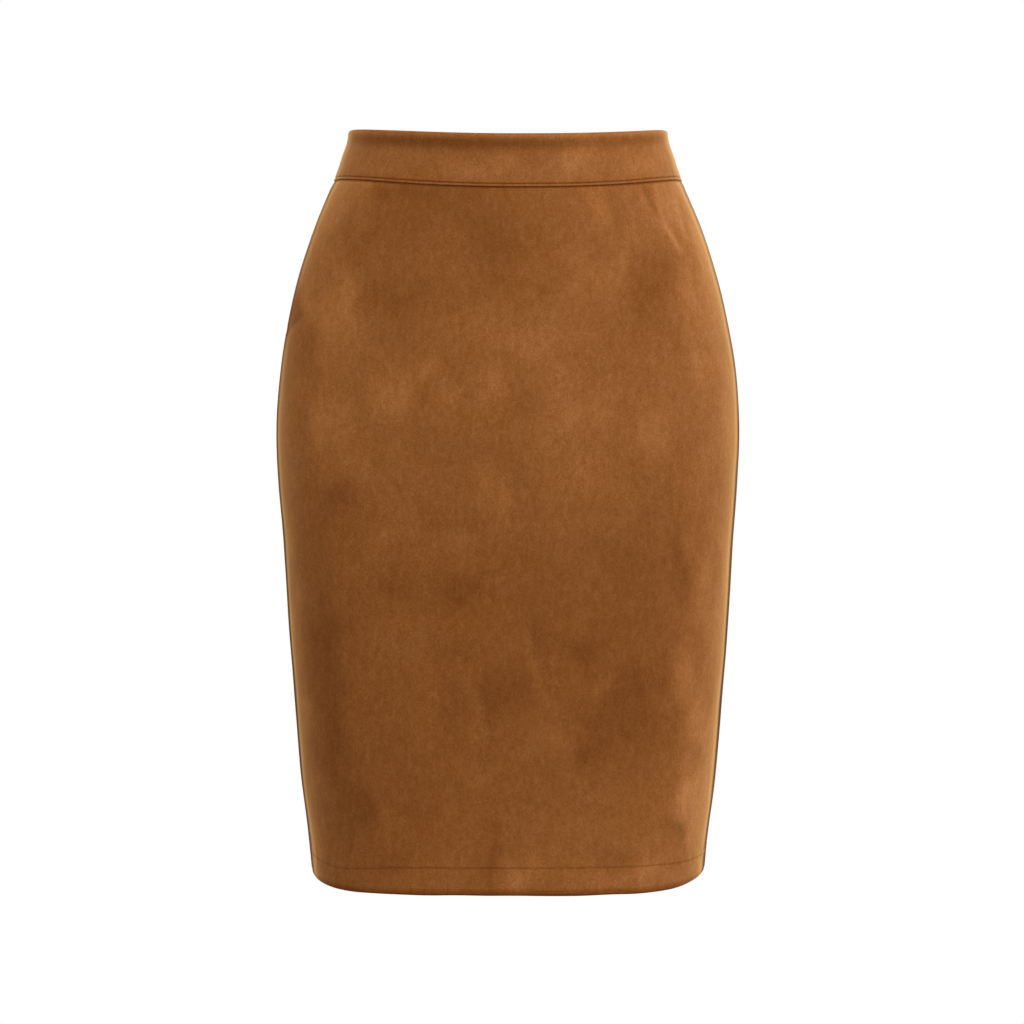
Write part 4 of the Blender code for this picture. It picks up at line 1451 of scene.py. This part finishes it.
# for the lie of the nap together with its painted light and shade
LIE_AND_LIGHT_POWERS = (0.92, 1.15, 1.70)
NAP_POWERS = (0.92, 1.42, 2.85)
WEAVE_POWERS = (1.0, 1.05, 1.1)
GRAIN_POWERS = (1.0, 1.06, 1.2)
# how strongly the painted shade lines darken the nap
PAINTED_SHADE_TONE = -1.5


class Groups(Enum):
    """The node groups, by the names they are kept under."""

    NAP = "napped_pile_and_shade"
    WEAVE = "plain_weave"
    GRAIN = "fine_grain"


class Web:
    """Adds nodes to one node tree, and joins them as it goes."""

    def __init__(self, tree: bpy.types.NodeTree) -> None:
        """Start on a tree."""
        self.tree = tree

    def feed(self, node: Node, inputs: dict[str | int, Setting]) -> None:
        """Join each of these sockets of a node to another's, or set it to a value."""
        for key, value in inputs.items():
            if isinstance(value, Socket):
                self.tree.links.new(value, node.inputs[key])
            else:
                node.inputs[key].default_value = value

    def node(
        self, kind: str, inputs: dict[str | int, Setting] | None = None, **settings: object
    ) -> Node:
        """Add a node.

        Args:
            kind: the node's type.
            inputs: what each socket is joined to or set to.
            settings: the node's own settings.

        Returns:
            The new node.
        """
        node = self.tree.nodes.new(kind)
        for key, value in settings.items():
            setattr(node, key, value)
        self.feed(node, inputs or {})
        return node

    def sum_of(self, operation: str, *values: Setting, clamp: bool = False) -> Socket:
        """One step of arithmetic on two or three values."""
        inputs = dict(enumerate(values))
        return self.node("ShaderNodeMath", inputs, operation=operation, use_clamp=clamp).outputs[0]

    def scaled(self, where: Socket, factors: Triple) -> Socket:
        """A vector times three factors."""
        inputs = {0: where, 1: factors}
        return self.node("ShaderNodeVectorMath", inputs, operation="MULTIPLY").outputs[0]

    def kept(self, name: str) -> Socket:
        """A value that is kept on the mesh under this name."""
        return self.node("ShaderNodeAttribute", attribute_name=name).outputs["Fac"]

    def step(
        self, value: Socket, start: float, end: float, low: float = 0.0, high: float = 1.0
    ) -> Socket:
        """A soft step from low to high, as a value goes from start to end."""
        inputs = {0: value, 1: start, 2: end, 3: low, 4: high}
        return self.node("ShaderNodeMapRange", inputs, interpolation_type="SMOOTHSTEP").outputs[0]

    def mixed(self, share: Socket, first: Setting, second: Setting) -> Socket:
        """One colour that turns into another as the share rises."""
        inputs = {0: share, 6: first, 7: second}
        return self.node("ShaderNodeMix", inputs, data_type="RGBA").outputs[2]

    def group(self, group: Groups, inputs: dict[str | int, Setting]) -> Node:
        """Add one of the shared node groups."""
        return self.node("ShaderNodeGroup", inputs, node_tree=bpy.data.node_groups[group.value])

    def cloud(self, where: Socket, per_metre: Setting, detail: float, rough: float) -> Socket:
        """Noise about 0, with this many lumps to the metre."""
        inputs = {"Vector": where, "Scale": per_metre, "Detail": detail, "Roughness": rough}
        noise = self.node("ShaderNodeTexNoise", inputs, noise_dimensions="3D")
        return self.sum_of("SUBTRACT", noise.outputs[0], 0.5)

    def tinted(self, base: Setting, tone: Socket, powers: Triple) -> Socket:
        """A colour times e to the tone, each channel by its own power.

        Darker nap is deeper in colour, so blue falls faster than red.
        """
        logs = [self.sum_of("MULTIPLY", tone, power) for power in powers]
        factors = [self.sum_of("POWER", EULER, value) for value in logs]
        shift = self.node("ShaderNodeCombineXYZ", dict(enumerate(factors))).outputs[0]
        return self.node("ShaderNodeVectorMath", {0: base, 1: shift}, operation="MULTIPLY").outputs[0]


def group_with(
    group: Groups, taken: dict[str, str], given: dict[str, str]
) -> tuple[Web, dict[str, Socket], Node]:
    """Start a shader node group.

    Args:
        group: which group it is.
        taken: the kind of each input socket.
        given: the kind of each output socket.

    Returns:
        The group's web, its inputs by name, and its output node.
    """
    tree = bpy.data.node_groups.new(group.value, "ShaderNodeTree")
    for key, kind in taken.items():
        tree.interface.new_socket(key, in_out="INPUT", socket_type=f"NodeSocket{kind}")
    for key, kind in given.items():
        tree.interface.new_socket(key, in_out="OUTPUT", socket_type=f"NodeSocket{kind}")
    web = Web(tree)
    start, end = web.node("NodeGroupInput"), web.node("NodeGroupOutput")
    return web, {key: start.outputs[key] for key in taken}, end


def make_nap_group() -> None:
    """Suede pile: clouds of lighter and darker nap, fine mottling, and painted shade lines.

    Its tone is the lie of the nap, with painted light and shade, plus three
    sizes of noise, a little longer up the cloth than across it.
    """
    web, take, end = group_with(
        Groups.NAP,
        {"Where": "Vector", "Base": "Color", "Lie And Light": "Float", "Painted Shade": "Float",
         "Clouds": "Float", "Mottle": "Float", "Fine": "Float"},
        {"Color": "Color", "Roughness": "Float", "Height": "Float"},
    )
    where = web.scaled(take["Where"], LONGER)
    wander = web.node("ShaderNodeTexNoise", {"Vector": where, "Scale": 38.0, "Detail": 2.0})
    bent = {0: wander.outputs[1], 1: (0.012, 0.012, 0.012), 2: where}
    bend = web.node("ShaderNodeVectorMath", bent, operation="MULTIPLY_ADD").outputs[0]
    clouds = web.cloud(bend, *CLOUDS)
    mottle = web.cloud(web.scaled(where, MOTTLE_LONGER), *MOTTLE)
    fine = web.cloud(where, *FINE)
    tone = web.sum_of("MULTIPLY", clouds, take["Clouds"])
    tone = web.sum_of("MULTIPLY_ADD", mottle, take["Mottle"], tone)
    tone = web.sum_of("MULTIPLY_ADD", fine, take["Fine"], tone)
    # painted shade along seams, stitches, grooves and the hem's fold
    tone = web.sum_of("MULTIPLY_ADD", take["Painted Shade"], PAINTED_SHADE_TONE, tone)
    dye = web.sum_of("SUBTRACT", wander.outputs[0], 0.5)
    base = web.tinted(web.tinted(take["Base"], dye, DYE_POWERS), take["Lie And Light"], LIE_AND_LIGHT_POWERS)
    web.feed(end, {
        "Color": web.tinted(base, tone, NAP_POWERS),
        "Roughness": web.sum_of("MULTIPLY_ADD", tone, 0.12, 0.92, clamp=True),
        "Height": web.sum_of("MULTIPLY_ADD", mottle, 0.8, fine),
    })


def make_weave_group() -> None:
    """Plain weave: threads over and under in turn, from two sines of the cloth's map.

    The height is the greater of a raised warp and a raised weft, which take
    turns with the sign of the product of two sines.
    """
    web, take, end = group_with(
        Groups.WEAVE,
        {"Map": "Vector", "Base": "Color", "Threads": "Float", "Depth": "Float"},
        {"Color": "Color", "Height": "Float"},
    )
    parts = web.node("ShaderNodeSeparateXYZ", {0: take["Map"]})
    turns = web.sum_of("MULTIPLY", take["Threads"], pi)
    over = web.sum_of("SINE", web.sum_of("MULTIPLY", parts.outputs[0], turns))
    down = web.sum_of("SINE", web.sum_of("MULTIPLY", parts.outputs[1], turns))
    cross = web.sum_of("MULTIPLY", over, down)
    lower = web.sum_of("MULTIPLY", cross, 0.3)
    height = web.sum_of("MULTIPLY_ADD", web.sum_of("ABSOLUTE", cross), 0.7, lower)
    uneven = web.cloud(take["Map"], *SLUBS)
    tone = web.sum_of("MULTIPLY_ADD", uneven, 0.8, web.sum_of("MULTIPLY", height, take["Depth"]))
    web.feed(end, {"Color": web.tinted(take["Base"], tone, WEAVE_POWERS), "Height": height})


def make_grain_group() -> None:
    """A fine uneven grain, for threads, nylon and enamel."""
    web, take, end = group_with(
        Groups.GRAIN,
        {"Where": "Vector", "Base": "Color", "Scale": "Float", "Amount": "Float", "Roughness": "Float"},
        {"Color": "Color", "Roughness": "Float", "Height": "Float"},
    )
    grain = web.cloud(take["Where"], take["Scale"], 3.0, 0.6)
    tone = web.sum_of("MULTIPLY", grain, take["Amount"])
    web.feed(end, {
        "Color": web.tinted(take["Base"], tone, GRAIN_POWERS),
        "Roughness": web.sum_of("MULTIPLY_ADD", grain, 0.3, take["Roughness"], clamp=True),
        "Height": grain,
    })


def new_material(name: str) -> tuple[Material, Web, Node]:
    """A material with its web and its Principled shader."""
    material = bpy.data.materials.new(name)
    material.use_nodes = True
    return material, Web(material.node_tree), material.node_tree.nodes["Principled BSDF"]


def join_bump(web: Web, shader: Node, height: Socket, strength: float, depth: float) -> None:
    """Feed a height through a bump node into the shader's normal."""
    bump = web.node("ShaderNodeBump", {"Strength": strength, "Distance": depth, "Height": height})
    web.feed(shader, {"Normal": bump.outputs[0]})


@dataclass(frozen=True)
class SuedeFinish:
    """The right side of the cloth: napped pile, with a warm painted sheen mixed into its colour towards
    its edges, and painted shade where its sides turn away.
    """

    name: str = "suede_nap"
    base: Triple = (0.2175, 0.0747, 0.0170)
    # painted light: the colour grows less deep towards the right, where the key light falls
    painted_light_tint: Triple = (0.0, 0.018, 0.07)      # growth of each channel over 100 mm to the right
    clouds: float = 0.18
    mottle: float = 0.56
    fine: float = 0.70
    # painted sheen: its colour, how fast it grows towards grazing views, and a painted rim of it
    painted_sheen: Triple = (0.80, 0.46, 0.175)
    painted_sheen_power: float = 4.2
    rim_sheen: Triple = (0.66, 0.78, 0.13)                         # from, to and strength
    # painted shade where a side turns away: the facing over which it comes in, how much, and how dark
    # as a share of the base
    turned_away: Pair = (0.755, 0.845)
    turned_shade: float = 0.85
    turned_shade_dark: float = 0.2
    specular: float = 0.08
    sheen: float = 0.08
    sheen_rough: float = 0.35
    sheen_tint: Triple = (1.0, 0.55, 0.20)
    bump: float = 0.55
    pile: float = 0.35 * MM

    def make(self) -> Material:
        """Make the material."""
        material, web, shader = new_material(self.name)
        where = web.node("ShaderNodeTexCoord").outputs["Object"]
        across = web.node("ShaderNodeSeparateXYZ", {0: where}).outputs["X"]
        # painted light: the tint of the light from the right
        base = web.tinted(self.base, web.sum_of("DIVIDE", across, 100.0 * MM), self.painted_light_tint)
        nap_and_painted_light = web.group(Groups.NAP, {
            "Where": where, "Base": base, "Lie And Light": web.kept("nap_and_painted_light"), "Painted Shade": web.kept("shade"),
            "Clouds": self.clouds, "Mottle": self.mottle, "Fine": self.fine,
        })
        # Painted sheen mixed into the colour towards grazing views and at the rim, left off by the flat
        # mask and where a side turns away.
        facing = web.node("ShaderNodeLayerWeight").outputs["Facing"]
        start, end, most = self.rim_sheen
        rim = web.step(facing, start, end, 0.0, most)
        painted_sheen = web.sum_of("ADD", web.sum_of("POWER", facing, self.painted_sheen_power), rim)
        # Painted shade at the outline, where the side mask says a side turns away.
        away = web.sum_of("MULTIPLY", web.step(facing, *self.turned_away), web.kept("side"))
        free = web.sum_of("SUBTRACT", 1.0, web.kept("flat"), clamp=True)
        painted_sheen = web.sum_of("MULTIPLY", painted_sheen, free)
        painted_sheen = web.sum_of("MULTIPLY", painted_sheen, web.sum_of("SUBTRACT", 1.0, away))
        warm = web.mixed(painted_sheen, nap_and_painted_light.outputs["Color"], (*self.painted_sheen, 1.0))
        dark = (*(self.turned_shade_dark * channel for channel in self.base), 1.0)
        web.feed(shader, {
            "Base Color": web.mixed(web.sum_of("MULTIPLY", away, self.turned_shade), warm, dark),
            "Roughness": nap_and_painted_light.outputs["Roughness"],
            "Specular IOR Level": self.specular,
            "Sheen Weight": self.sheen,
            "Sheen Roughness": self.sheen_rough,
            "Sheen Tint": (*self.sheen_tint, 1.0),
        })
        join_bump(web, shader, nap_and_painted_light.outputs["Height"], self.bump, self.pile)
        return material


@dataclass(frozen=True)
class WovenFinish:
    """A woven face: the back of the cloth, or the zip's tape."""

    name: str
    base: Triple
    threads: float
    depth: float = 0.5
    relief: float = 0.12 * MM
    sheen: float = 0.25

    def make(self) -> Material:
        """Make the material."""
        material, web, shader = new_material(self.name)
        weave = web.group(Groups.WEAVE, {
            "Map": web.node("ShaderNodeUVMap", uv_map="cloth").outputs[0],
            "Base": (*self.base, 1.0), "Threads": self.threads, "Depth": self.depth,
        })
        web.feed(shader, {
            "Base Color": weave.outputs["Color"],
            "Roughness": 0.9,
            "Specular IOR Level": 0.2,
            "Sheen Weight": self.sheen,
        })
        join_bump(web, shader, weave.outputs["Height"], 0.7, self.relief)
        return material


@dataclass(frozen=True)
class GrainFinish:
    """A finish of one colour with a fine grain: thread, nylon or enamel."""

    name: str
    base: Triple
    grain: float
    amount: float
    roughness: float
    relief: float = 0.03 * MM
    sheen: float = 0.0

    def make(self) -> Material:
        """Make the material."""
        material, web, shader = new_material(self.name)
        grain = web.group(Groups.GRAIN, {
            "Where": web.node("ShaderNodeTexCoord").outputs["Object"],
            "Base": (*self.base, 1.0), "Scale": self.grain, "Amount": self.amount,
            "Roughness": self.roughness,
        })
        web.feed(shader, {
            "Base Color": grain.outputs["Color"],
            "Roughness": grain.outputs["Roughness"],
            "Sheen Weight": self.sheen,
        })
        join_bump(web, shader, grain.outputs["Height"], 0.5, self.relief)
        return material


@dataclass
class Finishes:
    """Every material of the skirt."""

    suede: Material = field(init=False)
    band: Material = field(init=False)
    backing: Material = field(init=False)
    tape: Material = field(init=False)
    thread: Material = field(init=False)
    nylon: Material = field(init=False)
    enamel: Material = field(init=False)

    def __post_init__(self) -> None:
        """Make the shared groups, then the materials."""
        make_nap_group()
        make_weave_group()
        make_grain_group()
        self.suede = SuedeFinish().make()
        self.band = SuedeFinish(
            "suede_band", painted_sheen=(0.66, 0.37, 0.14), turned_away=(0.78, 0.93), turned_shade=0.6
        ).make()
        self.backing = WovenFinish("cloth_backing", (0.25, 0.108, 0.040), 1500.0, sheen=0.05).make()
        self.tape = WovenFinish("tape_weave", (0.15, 0.058, 0.02), 1900.0, depth=0.7).make()
        self.thread = GrainFinish(
            "sewing_thread", (0.085, 0.030, 0.0085), 2600.0, 1.2, 0.7, sheen=0.2
        ).make()
        self.nylon = GrainFinish("coil_nylon", (0.15, 0.055, 0.018), 900.0, 0.5, 0.35).make()
        self.enamel = GrainFinish("slider_enamel", (0.16, 0.06, 0.019), 700.0, 0.4, 0.34).make()


# ------------------------------------------------------------------ the studio
class Lamp(NamedTuple):
    """A square soft light.

    azimuth is its degrees round from the front to the right, height its
    degrees above level, away its distance and size the length of its side.
    """

    name: str
    azimuth: float
    height: float
    away: float
    size: float
    power: float


LAMPS = (
    Lamp("key", 64.0, 20.0, 2.2, 1.6, 41.0),
    Lamp("fill", -12.0, 52.0, 2.8, 2.0, 40.0),
    Lamp("rim", -104.0, 30.0, 2.2, 1.6, 14.0),
    Lamp("back", 162.0, 36.0, 2.6, 1.8, 20.0),
)


@dataclass
class Studio:
    """Plain soft light, a pale floor well below, and the camera."""

    camera_off: float = 3.1 * MM
    camera_back: float = 2.3
    camera_height: float = -275.6 * MM
    lens: float = 103.5
    ambient: float = 0.50
    floor_z: float = -0.95
    floor_radius: float = 1.35
    floor_fade: Pair = (0.25, 0.98)
    floor_tint: Triple = (0.9, 0.89, 0.88)

    def light(self, lamp: Lamp) -> None:
        """Add a square soft light that looks at the middle of the skirt."""
        source = bpy.data.lights.new(lamp.name, "AREA")
        source.size, source.energy = lamp.size, lamp.power
        holder = bpy.data.objects.new(lamp.name, source)
        a, e = radians(lamp.azimuth), radians(lamp.height)
        way = Vector((sin(a) * cos(e), -cos(a) * cos(e), sin(e)))
        holder.location = Vector((0.0, 0.0, self.camera_height)) + way * lamp.away
        holder.rotation_mode = "QUATERNION"
        holder.rotation_quaternion = way.to_track_quat("Z", "Y")
        bpy.context.scene.collection.objects.link(holder)

    def lights(self) -> None:
        """Add the lights and the surrounding light, white where the camera sees it."""
        for lamp in LAMPS:
            self.light(lamp)
        world = bpy.data.worlds.new("studio")
        world.use_nodes = True
        web = Web(world.node_tree)
        back = world.node_tree.nodes["Background"]
        seen = web.node("ShaderNodeLightPath").outputs["Is Camera Ray"]
        level = web.sum_of("MULTIPLY_ADD", seen, 1.0 - self.ambient, self.ambient)
        web.feed(back, {"Color": (1.0, 1.0, 1.0, 1.0), "Strength": level})
        bpy.context.scene.world = world

    def floor(self) -> None:
        """Add the floor: a disc of rings, paler and then clear towards its rim."""
        rings, spokes = 24, 72
        radius = np.linspace(0.02, 1.0, rings)[:, None] * self.floor_radius
        turn = np.linspace(0.0, tau, spokes + 1)[None, :]
        level = self.floor_z + 0.0 * radius * turn
        places = np.stack([radius * np.cos(turn), radius * np.sin(turn), level], axis=-1)
        index = np.arange(rings * (spokes + 1)).reshape(rings, spokes + 1)
        mesh = mesh_of("floor", places.reshape(-1, 3), quads_over(index))
        material, web, shader = new_material("pale_floor")
        where = web.node("ShaderNodeTexCoord").outputs["Object"]
        flat = web.scaled(where, (1.0 / self.floor_radius, 1.0 / self.floor_radius, 0.0))
        reach = web.node("ShaderNodeVectorMath", {0: flat}, operation="LENGTH").outputs["Value"]
        fade = web.step(reach, *self.floor_fade, 1.0, 0.0)
        web.feed(shader, {"Base Color": (*self.floor_tint, 1.0), "Roughness": 0.9, "Alpha": fade})
        finished("floor", mesh, [material])

    def camera(self) -> None:
        """Add the camera, level and straight in front."""
        lens = bpy.data.cameras.new("camera")
        lens.lens, lens.sensor_width = self.lens, 36.0
        lens.clip_end = 50.0
        holder = bpy.data.objects.new("camera", lens)
        holder.location = (self.camera_off, -self.camera_back, self.camera_height)
        holder.rotation_euler = (pi / 2.0, 0.0, 0.0)
        bpy.context.scene.collection.objects.link(holder)
        bpy.context.scene.camera = holder

    def build(self) -> None:
        """Set up the whole studio, with colours shown as they are."""
        self.camera()
        self.lights()
        self.floor()
        bpy.context.scene.view_settings.view_transform = "Standard"


# -------------------------------------------------------------------- the skirt
def half_back(side: str, cut_from: float, dart_share: float) -> BackPanel:
    """Half of the back, by its side, where its map starts, and where its dart lies."""
    return BackPanel(
        f"back_cloth_{side}",
        f"back_panel_{side}",
        cut_from,
        (0.285, 0.56),
        0.1360,
        dart_share=dart_share,
        right=side == "right",
    )


@dataclass
class PencilSkirt:
    """The whole skirt: three panels, the waistband, the threads and the zip."""

    front: Panel = field(
        default_factory=lambda: Panel("front_cloth", "front_panel", 0.0, (0.455, 0.56), 0.2260)
    )
    left: BackPanel = field(default_factory=lambda: half_back("left", 0.6, 0.38))
    right: BackPanel = field(default_factory=lambda: half_back("right", 1.2, 0.62))
    band: Waistband = field(default_factory=Waistband)
    hem_pitch: float = 2.9 * MM
    waist_pitch: float = 2.2 * MM
    spared_columns: int = 6
    zip_stitches_low: float = -182.0 * MM
    zip_stitches_in: float = 1.5 * MM

    def threads(self, finishes: Finishes) -> list[Piece]:
        """Sew the hem, the seam of the waistband, and both sides of the zip."""
        fine = Stitching(sink=0.10 * MM)
        strong = Stitching(length=2.0 * MM, pitch=2.8 * MM)
        panels = (self.front, self.left, self.right)
        hem = [fine.along(*panel.stitch_line(), self.hem_pitch) for panel in panels]
        row = self.band.stitch_row
        inner = slice(self.spared_columns, -self.spared_columns)
        grid = self.band.grid
        line, normals = grid.outside()[row, inner], grid.normals[row, inner]
        waist = fine.along(line, normals, self.waist_pitch)
        zip_rows = []
        for panel in (self.left, self.right):
            line, normals = panel.zip_line()
            kept = (line[:, 2] > self.zip_stitches_low) & (panel.rows.turned == 0.0)
            kept &= panel.rows.depth > self.zip_stitches_in
            zip_rows.append(strong.along(line[kept], normals[kept], strong.pitch))
        return [
            fine.build("hem_stitches", hem, finishes.thread),
            fine.build("waist_stitches", [waist], finishes.thread),
            strong.build("zip_stitches", zip_rows, finishes.thread),
        ]

    def build(self, finishes: Finishes) -> None:
        """Build every piece, and dress the slider and the pull."""
        cloth = [finishes.suede, finishes.backing]
        sewn = (self.front, self.left, self.right)
        panels = {panel.name: (panel, panel.build(cloth)) for panel in sewn}
        band = self.band.build([finishes.band, finishes.band])
        strips = Allowances().build([finishes.backing, finishes.suede])
        threads = self.threads(finishes)
        for name, (panel, piece) in panels.items():
            panel.declare(piece, strips[name])
            LOG.info("%s: %d faces", name, len(piece.data.polygons))
        self.band.declare(band, [])
        for piece in (band, *threads):
            LOG.info("%s: %d faces", piece.name, len(piece.data.polygons))
        for right in (False, True):
            ZipTape(right).build(finishes.tape, finishes.nylon)
        for name in ("zip_slider", "zip_pull"):
            for slot in bpy.data.objects[name].material_slots:
                slot.material = finishes.enamel
            LOG.info("%s: dressed in %s", name, finishes.enamel.name)


def main() -> None:
    """Set up the studio, build the skirt, and report each piece."""
    logging.basicConfig(level=logging.INFO, format="%(name)s: %(message)s")
    Studio().build()
    PencilSkirt().build(Finishes())


if __name__ == "__main__":
    main()
